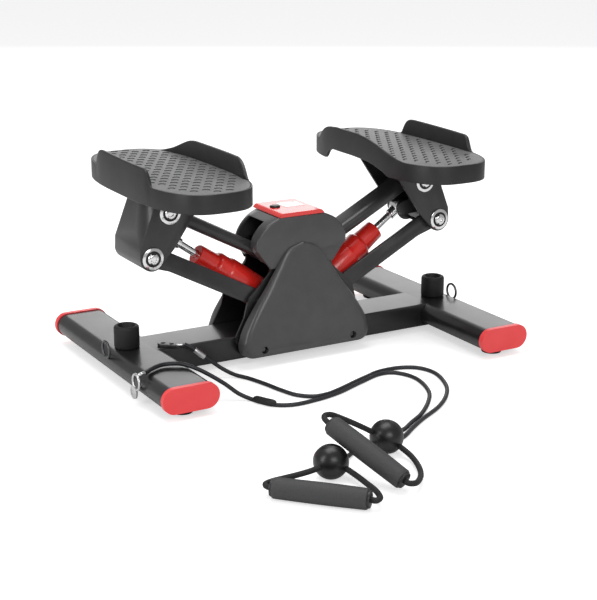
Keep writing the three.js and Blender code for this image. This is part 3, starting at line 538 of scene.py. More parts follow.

# %% [markdown]
# A tube along a path is a ring of points carried along it without twisting. It makes the straps, the hook,
# the sleeve, the crimp, the clip's tongue and the eye rings. The path can close on itself, and the radius can
# change along the way.

# %% Tube helper
def tube(name, path, radius, material, sides=16, closed=False, flat=1.0):
    """A closed tube. Radius is one value or one for each point; flat squeezes the section."""
    path = [Vector(p) for p in path]
    count = len(path)
    radii = [radius] * count if isinstance(radius, (int, float)) else radius
    bm = bmesh.new()
    rings = []
    side = None
    for i, at in enumerate(path):
        before = path[i - 1] if i or closed else at
        after = path[(i + 1) % count] if closed or i < count - 1 else at
        along = (after - before).normalized()
        if side is None:
            side = along.cross(Vector((0, 0, 1)))
            side = side if side.length > 0.1 else along.cross(Vector((0, 1, 0)))
        side = (side - along * side.dot(along)).normalized()
        up = side.cross(along)
        turns = [math.tau * k / sides for k in range(sides)]
        ring = [at + side * (radii[i] * math.cos(t)) + up * (radii[i] * flat * math.sin(t)) for t in turns]
        rings.append([bm.verts.new(point) for point in ring])
    pairs = list(zip(rings, rings[1:])) + ([(rings[-1], rings[0])] if closed else [])
    for one, two in pairs:
        for k in range(sides):
            j = (k + 1) % sides
            bm.faces.new((one[k], one[j], two[j], two[k]))
    if not closed:
        bm.faces.new(rings[0])
        bm.faces.new(rings[-1])
    return to_object(name, bm, material, 50)


def joined(name, pieces):
    """Several meshes made into one object with their own materials kept."""
    bm = bmesh.new()
    materials = []
    for piece in pieces:
        first = len(bm.faces)
        bm.from_mesh(piece.data)
        bm.faces.ensure_lookup_table()
        material = piece.data.materials[0]
        if material not in materials:
            materials.append(material)
        for face in bm.faces[first:]:
            face.material_index = materials.index(material)
        bpy.data.objects.remove(piece)
    mesh = bpy.data.meshes.new(name)
    bm.to_mesh(mesh)
    bm.free()
    for material in materials:
        mesh.materials.append(material)
    return add_object(name, mesh)


# %% [markdown]
# Each ball is a moulded stop with a faint parting ridge. Each grip is a foam tube with a plastic ring at both
# ends, and its strap is a soft webbing cord that runs through the ball.

# %% Balls, grips and straps
BALL_RADIUS, GRIP_RADIUS, GRIP_LENGTH, STRAP_RADIUS = 18, 11, 100, 3
BALLS = {"a": (-81.5, -353.6, 18.1), "b": (-166, -382, 18.1)}
# Each grip is its middle and the direction that it points in.
GRIPS = {"a": ((-137.7, -404.3, 30.6), (33.6, -86.6, -37.2)), "b": ((-206.5, -430, 11.3), (69, -72, 0))}
STRAPS = {
    "a": [
        [(-152, -367.5, 46.4), (-156.8, -355, 51.8), (-154.5, -349.5, 53.5), (-146, -346.5, 52.5),
         (-128, -346.5, 43.5), (-108, -349, 32), (-92, -351, 22)],
        [(-78, -362, 14), (-73, -373, 9), (-73.5, -390, 6.5), (-81, -413, 6), (-92.5, -433.5, 7.5),
         (-105, -448, 9.5), (-114, -454.5, 11), (-120.5, -453, 12), (-122.5, -443.5, 13.8)],
    ],
    "b": [
        [(-234, -401.3, 11.3), (-243.5, -391.5, 11.6), (-242.5, -386, 12), (-233.5, -384, 12.5),
         (-221, -384.5, 13), (-206.5, -386, 14), (-194, -387.5, 15.5), (-183, -387.5, 17),
         (-175, -385.5, 17.5)],
        [(-158.5, -394, 15), (-154, -401, 11.5), (-151.5, -412.5, 9), (-151.5, -428, 8), (-154, -445.5, 9),
         (-158.5, -459, 10.5), (-163, -468, 11.3), (-169, -470.5, 11.3), (-174, -464, 11.3),
         (-180, -457.5, 11.3)],
    ],
}


def ball_profile(radius, ridge=0.35, steps=40):
    profile = []
    for step in range(steps + 1):
        angle = math.pi * step / steps
        reach = radius + ridge * math.exp(-((angle - math.pi / 2) / 0.035) ** 2)
        profile.append((-radius * math.cos(angle), reach * math.sin(angle) if 0 < step < steps else 0))
    return profile


def grip(name, middle, along):
    direction = Vector(along).normalized()
    start = Vector(middle) - direction * (GRIP_LENGTH / 2)
    swell = [(t, GRIP_RADIUS - 0.5 + 0.5 * math.sin(math.pi * t / GRIP_LENGTH))
             for t in range(4, GRIP_LENGTH - 3, 4)]
    foam = turned(f"{name}_foam", [(2.5, 0), (2.5, 9), (3, GRIP_RADIUS - 0.9), *swell,
                                   (GRIP_LENGTH - 3, GRIP_RADIUS - 0.9), (GRIP_LENGTH - 2.5, 9),
                                   (GRIP_LENGTH - 2.5, 0)], start, along, FOAM, 48)
    ring = [(0, 0), (0, 7.5), (0.4, 8.6), (1.4, 9), (2.4, 8.8), (2.4, 0)]
    near = turned(f"{name}_ring_near", ring, start, along, BLACK_PLASTIC, 48)
    far = turned(f"{name}_ring_far", ring, start + direction * GRIP_LENGTH, -Vector(along), BLACK_PLASTIC, 48)
    return joined(name, [foam, near, far])


band_pieces = {"a": [], "b": []}
for band, at in BALLS.items():
    centre = Vector(at)
    lean = Vector(GRIPS[band][0]) - centre
    ball = turned(f"band_{band}_ball_stop", ball_profile(BALL_RADIUS), centre, lean, BALL_PLASTIC)
    settle(ball, "frame", f"band_{band}_ball", slot="rubber_black")
    hand = grip(f"band_{band}_grip", *GRIPS[band])
    straps = [tube(f"strap_{band}_{i}", smooth_path(points, 6), STRAP_RADIUS, WEBBING, 12)
              for i, points in enumerate(STRAPS[band])]
    strap = joined(f"band_{band}_strap", straps)
    settle(hand, "frame", f"band_{band}_handle", slot="foam_grey")
    settle(strap, "frame", slot="cord_black")
    band_pieces[band].append(ball)
print("balls, grips and straps made for", len(band_pieces), "bands")

# %% [markdown]
# The first cord ends in a cast snap hook that hangs over the bar, with a sliding sleeve further on. The
# second ends in a flat black clip on the beam, held by a silver crimp.

# %% Hook, clip, sleeve and crimp
hook_at = Vector(CORD_A[0]) * PER_METRE
ring_at = hook_at + Vector((-9.5, 5, -11))
loop = [ring_at + Vector((0, 9 * math.cos(t), 9 * math.sin(t))) for t in np.linspace(0, math.tau, 40, False)]
neck_points = [hook_at + Vector((-1.2, -0.9, 0)), hook_at + Vector((-6, -1, 0)), ring_at + Vector((0, -3, 8))]
neck = smooth_path(neck_points)
hook = joined("band_a_snap_hook", [
    tube("hook_ring", loop, 1.6, SILVER, 12, closed=True),
    tube("hook_neck", neck, 2.2, SILVER, 12),
    turned("hook_disc", [(-1.5, 0), (-1.5, 7.2), (-1, 8), (1, 8), (1.5, 7.2), (1.5, 0)],
           ring_at + Vector((0, 7, -14)), (1, 0, 0), SILVER, 40),
])
settle(hook, "frame", "band_a_hook", slot="bright_steel")
SLEEVE_SPAN, CRIMP_SPAN = (66, 81), (9, 19)
path_a, path_b = ([p * PER_METRE for p in smooth_path(points)] for points in (CORD_A, CORD_B))
sleeve_path = path_a[SLEEVE_SPAN[0]:SLEEVE_SPAN[1]]
sleeve_radii = [4.4 - 1.5 * abs(2 * i / (len(sleeve_path) - 1) - 1) ** 8 for i in range(len(sleeve_path))]
sleeve = tube("band_a_sleeve", [p + Vector((0, 0, 1.8)) for p in sleeve_path], sleeve_radii, BLACK_RUBBER, 20)
settle(sleeve, "frame", slot="rubber_black")
crimp = tube("band_b_crimp", path_b[CRIMP_SPAN[0]:CRIMP_SPAN[1]], 4.2, SILVER, 20, flat=0.85)
settle(crimp, "frame", slot="bright_steel")
clip_at = Vector(CORD_B[0]) * PER_METRE + Vector((-13.4, 14.4, 0))
lay_clip = Matrix.Translation((clip_at.x, clip_at.y, 37.9)) @ Matrix.Rotation(-0.82, 4, "Z")
clip = plate("band_b_flat_clip", flat_oval(30, 11), "Z", 0, 3, BLACK_PAINT, 0.6)
boolean(clip, [plate(f"eye{x}", circle(x, 0, 3), "Z", -1, 4, BLACK_PAINT) for x in (-8, 3)])
clip.data.transform(Matrix.Scale(PER_METRE, 4))
clip.data.transform(Matrix.Scale(MM, 4) @ lay_clip)
tongue_path = [lay_clip @ Vector(p) for p in ((9, 0, 2), (14, 0, 2.6), (17.6, 0, 3.4))]
tongue = tube("clip_tongue", tongue_path, 1.8, SILVER)
clip = joined("band_b_clip_and_tongue", [clip, tongue])
settle(clip, "frame", "band_b_clip", slot="steel_black")
band_pieces["a"] += [hook, sleeve]
band_pieces["b"] += [clip, crimp]
for cord, band, points, length in ((cord_a, "a", CORD_A, length_a), (cord_b, "b", CORD_B, length_b)):
    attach(cord, "frame")
    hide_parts(f"band_{band}_cord")

# %% [markdown]
# ## The base
#
# Two flat-oval steel tubes stand on rubber feet, joined by a flat beam. Red plugs close the tube ends, and
# a soft rubber bumper stops each pedal. The outline of a tube is two straight sides joined by half circles,
# carried along its length.

# %% Bars, caps, feet, bumpers and rings
BAR_X, BAR_MID, BAR_WIDTH, BAR_HEIGHT, BAR_END = 215.5, 23.8, 67, 27.6, 159
BEAM_END = 195.8
bar_outline = flat_oval(BAR_WIDTH, BAR_HEIGHT, BAR_X, BAR_MID, 24)
bar = plate("floor_tube", bar_outline, "Y", -BAR_END, BAR_END, POWDER_COAT, 0.5)
settle_pair(bar, "floor_tube", "frame", "frame_black", "floor_bar")
beam_section = rounded([(-30, 7.6, 3), (30, 7.6, 3), (30, 37.6, 3), (-30, 37.6, 3)])
beam = plate("cross_beam", beam_section, "X", -BEAM_END, BEAM_END, POWDER_COAT)
settle(beam, "frame", "centre_beam", slot="frame_black")
for end, place in ((-1, "front"), (1, "rear")):
    inside, outside = sorted((end * (BAR_END + 0.3), end * (BAR_END + 7)))
    cap_outline = flat_oval(BAR_WIDTH + 2.6, BAR_HEIGHT + 2.6, BAR_X, BAR_MID, 28)
    cap = plate("cap", cap_outline, "Y", inside, outside, CAP_RED, 2)
    settle_pair(cap, f"tube_cap_{place}", "frame", "cap_red", f"end_cap_{place}")
    pad = turned("foot", [(0, 0), (0, 10.5), (0.6, 12.2), (1.8, 13), (8.6, 12.6), (9.7, 12.4), (9.7, 0)],
                 (BAR_X, end * 140, 0), (0, 0, 1), BLACK_RUBBER)
    settle_pair(pad, f"rubber_foot_{place}", "frame", "rubber_black", f"foot_{place}")
bumper_profile = [(37.9, 0), (37.9, 14), (38.6, 15), (39.5, 15.2), (61.5, 15.2), (63.2, 14.8), (64.3, 13.8),
                  (65, 12.2), (64.6, 10.8), (63, 9.8), (60, 9.2), (59, 8.4), (59, 0)]
bumper = turned("bumper", bumper_profile, (221, 0, 0), (0, 0, 1), BLACK_RUBBER)
settle_pair(bumper, "rubber_bumper", "frame", "rubber_black", "stop_bumper")
ring_path = [(249.6, -4 + 10 * math.cos(t), 40 + 10 * math.sin(t))
             for t in np.linspace(0, math.tau, 48, False)]
eye_ring = tube("ring", ring_path, 1.5, DARK_STEEL, 14, closed=True)
settle_pair(eye_ring, "band_ring", "frame", "steel_black", "eye_ring")
print("base done")

# %% [markdown]
# ## The tower and its covers
#
# Two steel plates rise from the beam and carry the fixed pivots. Plastic covers hide them front and back.
# A cover is lofted: its outline shrinks a little as it comes forward, first slowly and then fast, and that
# rounds its edge like a moulding.

# %% Tower plates and pins
UPPER_INNER, UPPER_OUTER = (32, 127), (177.8, 203.8)
LOWER_INNER, LOWER_OUTER = (55.3, 75.3), (201.1, 152.1)
CYLINDER_FOOT, ROD_PIN = (31, 70.5), (164.1, 166.2)
PIN_RADIUS, BORE_RADIUS = 5, 5.3
flank = [(92, 28, 5), (92, 37, 4), (80, 60, 10), (74, 84, 10), (44, 112, 10), (43, 145, 8)]
tower_outline = rounded(flank + [(-x, z, r) for x, z, r in reversed(flank)])
for face, place in ((-1, "front"), (1, "rear")):
    near, far = sorted((face * 30.3, face * 33))
    wall = plate(f"tower_wall_{place}", tower_outline, "Y", near, far, POWDER_COAT, 0.4)
    settle(wall, "frame", f"tower_plate_{place}", slot="frame_black")


def chamfered(radius, length, edge):
    """A cylinder with a small chamfer at both ends, as a profile."""
    narrow = radius - edge
    return [(0, 0), (0, narrow), (edge, radius), (length - edge, radius), (length, narrow), (length, 0)]


def pin(name, at, radius, start, end, head=0.0):
    """A turned pin along Y, with a thin head past each end when head is set."""
    length = end - start
    profile = chamfered(radius, length, 0.6)
    if head:
        rim = [(0, 0), (0, radius + head - 0.5), (0.5, radius + head), (1.8, radius + head)]
        profile = [*rim, (1.8, radius), (length - 1.8, radius),
                   *[(length - t, r) for t, r in reversed(rim)]]
    return turned(name, profile, (at[0], start, at[1]), (0, 1, 0), BRIGHT_STEEL, 40)


for part, at, start, end, head in (
    ("arm", UPPER_INNER, -33, 33, 0),
    ("cylinder", CYLINDER_FOOT, -35.1, 35.1, 3),
    ("link", LOWER_INNER, -35.1, -20.9, 3),
):
    axle = pin(f"{part}_axle", at, PIN_RADIUS, start, end, head)
    settle_pair(axle, f"{part}_axle", "frame", "bright_steel", f"{part}_pin")

# %% Covers
COVER_BACK, COVER_DEPTH, COVER_LEAN = 36.3, 20, 17
SCREW_X, SCREW_Z = 63, 22.5
COVER_FLANK = [(90.5, 30), (85, 46), (71.5, 69), (53, 94.5), (36, 120), (21, 139.5), (0, 147.5)]


def cover_outline(shrink):
    """The closed outline in X and Z, drawn in by shrink."""
    corner = [((1 - t) ** 2 * 74 + 2 * t * (1 - t) * 91 + t * t * 90.5, (1 - t * t) * 11 + t * t * 30)
              for t in np.linspace(0, 1, 9)[:-1]]
    side = [(p.x, p.z) for p in smooth_path([(x, 0, z) for x, z in COVER_FLANK], 6)]
    right = corner + side
    outline = right + [(-x, z) for x, z in reversed(right[:-1])]
    return [(x * (1 - shrink / 90), 75 + (z - 75) * (1 - shrink / 68)) for x, z in outline]


def loft(name, rings, material, angle=32):
    """Rings of equal length, skinned and closed at both ends."""
    bm = bmesh.new()
    made = [[bm.verts.new(p) for p in ring] for ring in rings]
    for one, two in zip(made, made[1:]):
        for i in range(len(one)):
            j = (i + 1) % len(one)
            bm.faces.new((one[i], one[j], two[j], two[i]))
    bm.faces.new(made[0])
    bm.faces.new(made[-1])
    return to_object(name, bm, material, angle)


def cover_body(name, inset, face):
    """Shares of the depth are paired with how far the outline has drawn in there."""
    steps = [(0, 0), (0.35, 0.4), (0.6, 1), (0.74, 2.1), (0.85, 3.9), (0.93, 6.3), (0.98, 8.8), (1, 11)]
    rings = []
    for share, shrink in steps:
        ring = []
        for x, z in cover_outline(shrink + inset):
            low = min(max(1 - (z - 11) / 136.5, 0), 1)
            depth = COVER_DEPTH - COVER_LEAN + COVER_LEAN * low - inset
            back = COVER_BACK - (1 if inset and share == 0 else 0)
            ring.append((x, face * (back + depth * share), z))
        rings.append(ring)
    return loft(name, rings, GREY_PLASTIC, 24)


for face, place in ((-1, "front"), (1, "rear")):
    shell = cover_body(f"tower_cover_{place}", 0, face)
    tools = [cover_body("inside", 2.5, face)]
    for x in (-SCREW_X, SCREW_X):
        hole_at = (x, face * 45, SCREW_Z)
        tools.append(turned("screw_hole", rod_profile(4.6, 0, 25), hole_at, (0, face, 0), GREY_PLASTIC))
    boolean(shell, tools, angle=24)
    settle(shell, "frame", f"{place}_cover", slot="plastic_grey")
screw_profile = [(0, 0), (0, 3.9), (5.2, 4.2), (5.8, 3.6), (6, 2.4), (5, 2.2), (4.4, 0)]
screw = turned("screw", screw_profile, (SCREW_X, -45.6, SCREW_Z), (0, -1, 0), DARK_STEEL, 32)
settle_pair(screw, "cover_screw_head", "frame", "steel_black", "cover_screw")
print("tower and covers done")

# %% [markdown]
# The counter's housing is lofted from front to back, because it narrows towards its rear corners. It is
# hollow, open below, and slotted where the two arms pass in. The red panel, the screen and the button sit on
# top of it.

# %% Counter housing
DOME_FRONT, SLOT_TOP, SLOT_REACH = 35.7, 174, 19.4
DOME_SIDE = [(63, 142), (63, 150), (58, 161), (47, 172.5), (32, 179.5)]


def dome_ring(y, inset):
    """One slice of the housing at y: half a profile, mirrored."""
    side = [(p.x, p.z) for p in smooth_path([(x, 0, z) for x, z in DOME_SIDE], 5)]
    right = [(45, 118), *side]
    narrow = np.interp(y, [22, 26, 33, DOME_FRONT], [0, 2.5, 8, 14])

    def place(x, z):
        tall = min(max((z - 118) / 35, 0), 1)
        drop = inset * max(0, (z - 130) / 50)
        return (x * (1 - inset / 63) - math.copysign(narrow * tall, x), y, z - drop)

    return [place(x, z) for x, z in right] + [place(-x, z) for x, z in reversed(right)]


def dome(name, inset, ends):
    round_front = [(-ends + back, shrink + inset)
                   for back, shrink in ((0, 2.2), (0.5, 1.1), (1.5, 0.3), (2.6, 0))]
    middle = [(y, inset) for y in (-20, 0, 15, 22, 26, 30)]
    round_rear = [(-y, shrink) for y, shrink in reversed(round_front)]
    rings = [dome_ring(y, shrink) for y, shrink in round_front + middle + round_rear]
    return loft(name, rings, GREY_PLASTIC, 30)


housing = dome("counter_housing", 0, DOME_FRONT)
hollow = dome("hollow", 2.4, DOME_FRONT - 2.4)
open_below = plate("below", [(-60, 110), (60, 110), (60, 125), (-60, 125)], "Y", -33.3, 33.3, GREY_PLASTIC)
slots = []
for hand in (-1, 1):
    slot_outline = [(hand * 30, 110), (hand * 70, 110), (hand * 70, SLOT_TOP), (hand * 30, SLOT_TOP)]
    slots.append(plate("slot", slot_outline, "Y", -SLOT_REACH, SLOT_REACH, GREY_PLASTIC))
boolean(housing, [hollow, open_below, *slots], angle=30)
settle(housing, "frame", "display_housing", slot="plastic_grey")

# %% Panel, screen and button
PANEL_Z = 179.8
BUTTON_AT = (-17, 3, PANEL_Z)
panel_top = PANEL_Z + 5
panel_corners = [(-32.5, PANEL_Z, 1), (32.5, PANEL_Z, 1), (28, panel_top, 6), (-28, panel_top, 6)]
panel_section = rounded(panel_corners, 10)
panel = plate("counter_panel", panel_section, "Y", -34.7, 33.7, PANEL_RED, 1.2)
pocket_outline = rounded([(-7.3, -6.3, 1.5), (21.3, -6.3, 1.5), (21.3, 20.3, 1.5), (-7.3, 20.3, 1.5)])
pocket = plate("pocket", pocket_outline, "Z", PANEL_Z + 3, PANEL_Z + 8, PANEL_RED)
bore = turned("bore", rod_profile(6.8, -5, 10), BUTTON_AT, (0, 0, 1), PANEL_RED, 48)
boolean(panel, [pocket, bore])
settle(panel, "frame", "display_panel", slot="panel_red")
window = plate("counter_window", rounded([(-7, -6, 1.3), (21, -6, 1.3), (21, 20, 1.3), (-7, 20, 1.3)]), "Z",
               PANEL_Z + 3.3, PANEL_Z + 5.2, SCREEN, 0.3)
settle(window, "frame", "display_screen", slot="screen_grey")
button = turned("mode_key", [(1.6, 0), (1.6, 6.4), (6, 6.5), (6.8, 6.2), (7.2, 5.4), (7.4, 4), (7.4, 0)],
                BUTTON_AT, (0, 0, 1), BALL_PLASTIC, 48)
settle(button, "mode_button", "mode_button", slot="plastic_black")
print("counter done")

# %% [markdown]
# ## The arms, the links and the pedal brackets
#
# On each side a flat-oval arm and a flat link swing together, so the pedal stays level. They are drawn along
# +X from their inner pivot and then swung up into place. The bracket is a channel folded from one plate.

# %% Arm and link
ARM_LENGTH = math.dist(UPPER_INNER, UPPER_OUTER)
ARM_ANGLE = math.atan2(UPPER_OUTER[1] - UPPER_INNER[1], UPPER_OUTER[0] - UPPER_INNER[0])


def swung(angle, pivot):
    return Matrix.Translation((pivot[0], 0, pivot[1])) @ Matrix.Rotation(-angle, 4, "Y")


def sleeve_along_y(name, at, radius, reach, material):
    return turned(name, chamfered(radius, 2 * reach, 0.8), (at[0], -reach, at[1]), (0, 1, 0), material, 48)


def bore_through(at, radius, reach=60):
    profile = rod_profile(radius, 0, 2 * reach)
    return turned("bore", profile, (at[0], -reach, at[1]), (0, 1, 0), BLACK_PAINT, 40)


arm = plate("swing_arm", flat_oval(35.2, 16, steps=20), "X", 0, ARM_LENGTH, BLACK_PAINT,
            place=swung(ARM_ANGLE, UPPER_INNER))
boolean(arm, [sleeve_along_y("inner", UPPER_INNER, 10, 30, BLACK_PAINT),
              sleeve_along_y("outer", UPPER_OUTER, 10, 34.7, BLACK_PAINT)], "UNION")
boolean(arm, [bore_through(UPPER_INNER, BORE_RADIUS), bore_through(UPPER_OUTER, BORE_RADIUS)])
settle_pair(arm, "swing_arm", "arm", "steel_black", "upper_arm")
link_bar = rounded([
    (0, -7, 0), (ARM_LENGTH - 32, -7, 6), (ARM_LENGTH - 1, -12.5, 0),
    (ARM_LENGTH - 1, 12.5, 0), (ARM_LENGTH - 20, 14, 6), (0, 14, 0),
])
link = plate("swing_link", link_bar, "Y", -28, -23, BLACK_PAINT, 0.7, place=swung(ARM_ANGLE, LOWER_INNER))
eyes = [turned("eye", chamfered(radius, 5, 0.7), (at[0], -28, at[1]), (0, 1, 0), BLACK_PAINT)
        for at, radius in ((LOWER_INNER, 14), (LOWER_OUTER, 12.5))]
boolean(link, eyes, "UNION")
boolean(link, [bore_through(LOWER_INNER, BORE_RADIUS), bore_through(LOWER_OUTER, BORE_RADIUS)])
settle_pair(link, "swing_link", "link", "steel_black", "lower_link")

# %% Bracket and its lugs
EYE, WEB, BRACKET_TOP, BRACKET_HALF = 15.3, 2.4, 239, 38
web_edge = [(216, 166), (198.6, 209), (186, BRACKET_TOP)]


def arc(centre, radius, start, end, steps=24):
    turns = np.linspace(start, end, steps)
    return [(centre[0] + radius * math.cos(t), centre[1] + radius * math.sin(t)) for t in turns]


bracket_outline = [
    (118.6, BRACKET_TOP), (140, 208), (172.8, 161),
    *arc(LOWER_OUTER, EYE, 1.3 * math.pi, math.tau),
    *web_edge,
]
below = LOWER_OUTER[1] - 2 * EYE
inside_outline = [(55.3, BRACKET_TOP - 3), (55.3, below), (LOWER_OUTER[0], below),
                  *arc(LOWER_OUTER, EYE - WEB, 1.62 * math.pi, math.tau),
                  *[(x - WEB, min(z, BRACKET_TOP - 3)) for x, z in web_edge]]
bracket = plate("pedal_channel", bracket_outline, "Y", -BRACKET_HALF, BRACKET_HALF, BLACK_PAINT, 1.0)
boolean(bracket, [plate("inside", inside_outline, "Y", -35, 35, BLACK_PAINT)])
x, z = ROD_PIN
lug_outline = [(x, z - 9), (x + 46, z - 5), (x + 40, z + 20), (x, z + 9),
               *arc(ROD_PIN, 9, 0.5 * math.pi, 1.5 * math.pi)]
lugs = [plate("lug", lug_outline, "Y", min(f * 9, f * 13), max(f * 9, f * 13), BLACK_PAINT) for f in (-1, 1)]
boolean(bracket, lugs, "UNION")
cross_pin = turned("rod_pin", rod_profile(4, 0, 26), (x, -13, z), (0, 1, 0), BLACK_PAINT)
boolean(bracket, [cross_pin], "UNION")
boolean(bracket, [bore_through(UPPER_OUTER, BORE_RADIUS), bore_through(LOWER_OUTER, BORE_RADIUS)])
settle_pair(bracket, "pedal_channel", "pedal", "steel_black", "pedal_bracket")

# %% [markdown]
# Each pivot bolt clamps a big polished washer. Between the washer and the head lies a dark nylon ring, which
# is why a pivot looks like a bright ring around a dark one.

# %% Pivot bolts
def pivot_bolt(name, at, spacer):
    washer = [(0, 0), (0, 12.9), (0.4, 13.3), (1.2, 13.3), (1.6, 12.8), (1.6, 0)]
    collar = [(0, 0), (0, 9.6), (0.5, 9.6), (0.8, 9.2), (0.8, 0)]
    head = [(0, 0), (0, 7), (0.6, 7.2), (2, 6.6), (2.9, 5), (3.1, 3.2), (1.6, 3), (1.6, 0)]
    made = [pin(f"{name}_shank", at, PIN_RADIUS, -39, 39)]
    if spacer:
        tube_start = (at[0], -22.7, at[1])
        made.append(turned("spacer", rod_profile(8, 0, 57.4), tube_start, (0, 1, 0), DARK_STEEL))
    for end in (-1, 1):
        for part, offset, material in (
            (washer, 38.3, BRIGHT_STEEL), (collar, 39.9, BLACK_RUBBER), (head, 39.9, BRIGHT_STEEL),
        ):
            made.append(turned("part", part, (at[0], end * offset, at[1]), (0, end, 0), material, 56))
    return joined(name, made)


for level, at, spacer in (("upper", UPPER_OUTER, False), ("lower", LOWER_OUTER, True)):
    bolt = pivot_bolt(f"{level}_pivot", at, spacer)
    settle_pair(bolt, f"{level}_pivot", "pedal", "bright_steel", f"{level}_bolt")

# %% [markdown]
# ## The hydraulic cylinders
#
# A cylinder body is a turned part: a wide reservoir, a shoulder and a long narrow collar that guides the
# polished rod. Both are drawn by their profile along the axis.

# %% Cylinder and rod
ROD_LENGTH = math.dist(ROD_PIN, CYLINDER_FOOT)
ROD_DIRECTION = (
    (ROD_PIN[0] - CYLINDER_FOOT[0]) / ROD_LENGTH, 0, (ROD_PIN[1] - CYLINDER_FOOT[1]) / ROD_LENGTH,
)
foot_point = (CYLINDER_FOOT[0], 0, CYLINDER_FOOT[1])
barrel_profile = [(10, 0), (10.5, 9), (12, 12), (14, 15), (17, 17.6), (20, 19.1), (23, 19.7), (69, 19.7),
                  (71, 19.4), (73, 18.4), (74.5, 17.7), (88, 17.7), (90, 17.2), (91.5, 15.8), (93, 14.1),
                  (104, 13.4), (117, 12.8), (118.4, 12.4), (119, 11.6), (119, 5.4), (60, 5.4), (60, 0)]
barrel = turned("oil_cylinder", barrel_profile, foot_point, ROD_DIRECTION, GLOSS_RED, 72, 30)
boolean(barrel, [sleeve_along_y("eye", CYLINDER_FOOT, 9.5, 11, GLOSS_RED),
                 sleeve_along_y("long", CYLINDER_FOOT, 7.5, 30, GLOSS_RED),
                 turned("neck", rod_profile(7, 0, 14), foot_point, ROD_DIRECTION, GLOSS_RED)], "UNION", 30)
boolean(barrel, [bore_through(CYLINDER_FOOT, BORE_RADIUS)], angle=30)
settle_pair(barrel, "oil_cylinder", "cylinder", "gloss_red", "cylinder_body")
polished_profile = [
    (76, 0), (76, 4.8), (ROD_LENGTH - 18, 4.8), (ROD_LENGTH - 18, 6.2),
    (ROD_LENGTH - 17.4, 7), (ROD_LENGTH, 7.5), (ROD_LENGTH, 0),
]
rod = turned("polished_rod", polished_profile, foot_point, ROD_DIRECTION, BRIGHT_STEEL, 48)
boolean(rod, [sleeve_along_y("rod_eye", ROD_PIN, 10, 8, BRIGHT_STEEL)], "UNION")
boolean(rod, [bore_through(ROD_PIN, 4.8)])
settle_pair(rod, "polished_rod", "rod", "bright_steel", "piston_rod")
print("linkage done")

# %% [markdown]
# ## The pedals
#
# A pedal is a shallow moulded tray with a rounded outline, a skirt, and a wall on each side that keeps the
# foot on it. The outline is a superellipse. The wall's height is drawn as a curve along the pedal, one for
# the outer side and one for each inner side, and the rim thickens where a wall rises.

# %% Pedal shell and tread insert
PEDAL_X, PEDAL_Y, HALF_WIDTH, HALF_LENGTH, PEDAL_POWER = 158, 7, 63, 148, 3
RIM_Z, SKIRT_Z, RECESS_Z, ROOF_Z = 244.3, 222, 242, 239.3
OUTER_WALL = [(-74, 244.3), (-71, 249), (-67, 261), (-61, 264), (60, 265.5), (70, 264.5), (78, 258),
              (82, 248), (84, 244.3)]
# The left inner wall stands high near the toes, the right one near the heel.
INNER_WALL = {
    "left": [(-89, 244.3), (-86, 248), (-80, 255), (-71, 262.5), (-60, 266), (60, 266), (74, 264),
             (88, 259), (109, 250.5), (128, 245), (134, 244.3)],
    "right": [(-94, 244.3), (-80, 246.8), (-63, 251.8), (-40, 258.4), (-17, 263.5), (6, 266), (60, 266),
              (81, 263.8), (92, 260), (99, 255.5), (105, 250), (109, 244.3)],
}
# How far the skirt's lower edge rises under the inner wall.
NOTCH_RISE = [(-66, 0), (-52, 5.7), (-35, 10.5), (-19, 13), (18, 14.2), (68, 14.2), (76, 10),
              (82, 2.5), (86, 0)]


def pedal_points(inset, count=288):
    """Evenly spaced points round the superellipse, drawn in by inset."""
    angles = np.linspace(0, math.tau, 4000, endpoint=False)
    power = 2 / PEDAL_POWER
    xs = (HALF_WIDTH - inset) * np.sign(np.cos(angles)) * np.abs(np.cos(angles)) ** power
    ys = (HALF_LENGTH - inset) * np.sign(np.sin(angles)) * np.abs(np.sin(angles)) ** power
    xs, ys = np.append(xs, xs[0]), np.append(ys, ys[0])
    along = np.concatenate([[0], np.cumsum(np.hypot(np.diff(xs), np.diff(ys)))])
    even = np.linspace(0, along[-1], count, endpoint=False)
    return np.interp(even, along, xs) + PEDAL_X, np.interp(even, along, ys) + PEDAL_Y


def wall_top(side, x, y):
    wall = OUTER_WALL if x > PEDAL_X else INNER_WALL[side]
    reach = [-200, *[p[0] for p in wall], 200]
    heights = [RIM_Z, *[p[1] for p in wall], RIM_Z]
    window = np.linspace(-4, 4, 9)
    return float(np.mean(np.interp(y + window, reach, heights)))


def skirt_low(x, y):
    rise = np.interp(y, [p[0] for p in NOTCH_RISE], [p[1] for p in NOTCH_RISE])
    return SKIRT_Z + (float(rise) if x < PEDAL_X else 0)


edge_x, edge_y = pedal_points(0)


def rim(side):
    """The wall's top and thickness at each point of the outline."""
    tops = [wall_top(side, x, y) for x, y in zip(edge_x, edge_y)]
    return tops, [2 + 2.5 * min(1, (top - RIM_Z) / 6) for top in tops]


def pedal_ring(widths, share, extra, heights):
    """A ring drawn in by a share of the wall's thickness plus an extra amount."""
    ring = []
    for x, y, width, height in zip(edge_x, edge_y, widths, heights):
        inset = width * share + extra
        across = (x - PEDAL_X) * (1 - inset / HALF_WIDTH)
        along = (y - PEDAL_Y) * (1 - inset / HALF_LENGTH)
        ring.append((PEDAL_X + across, PEDAL_Y + along, height))
    return ring


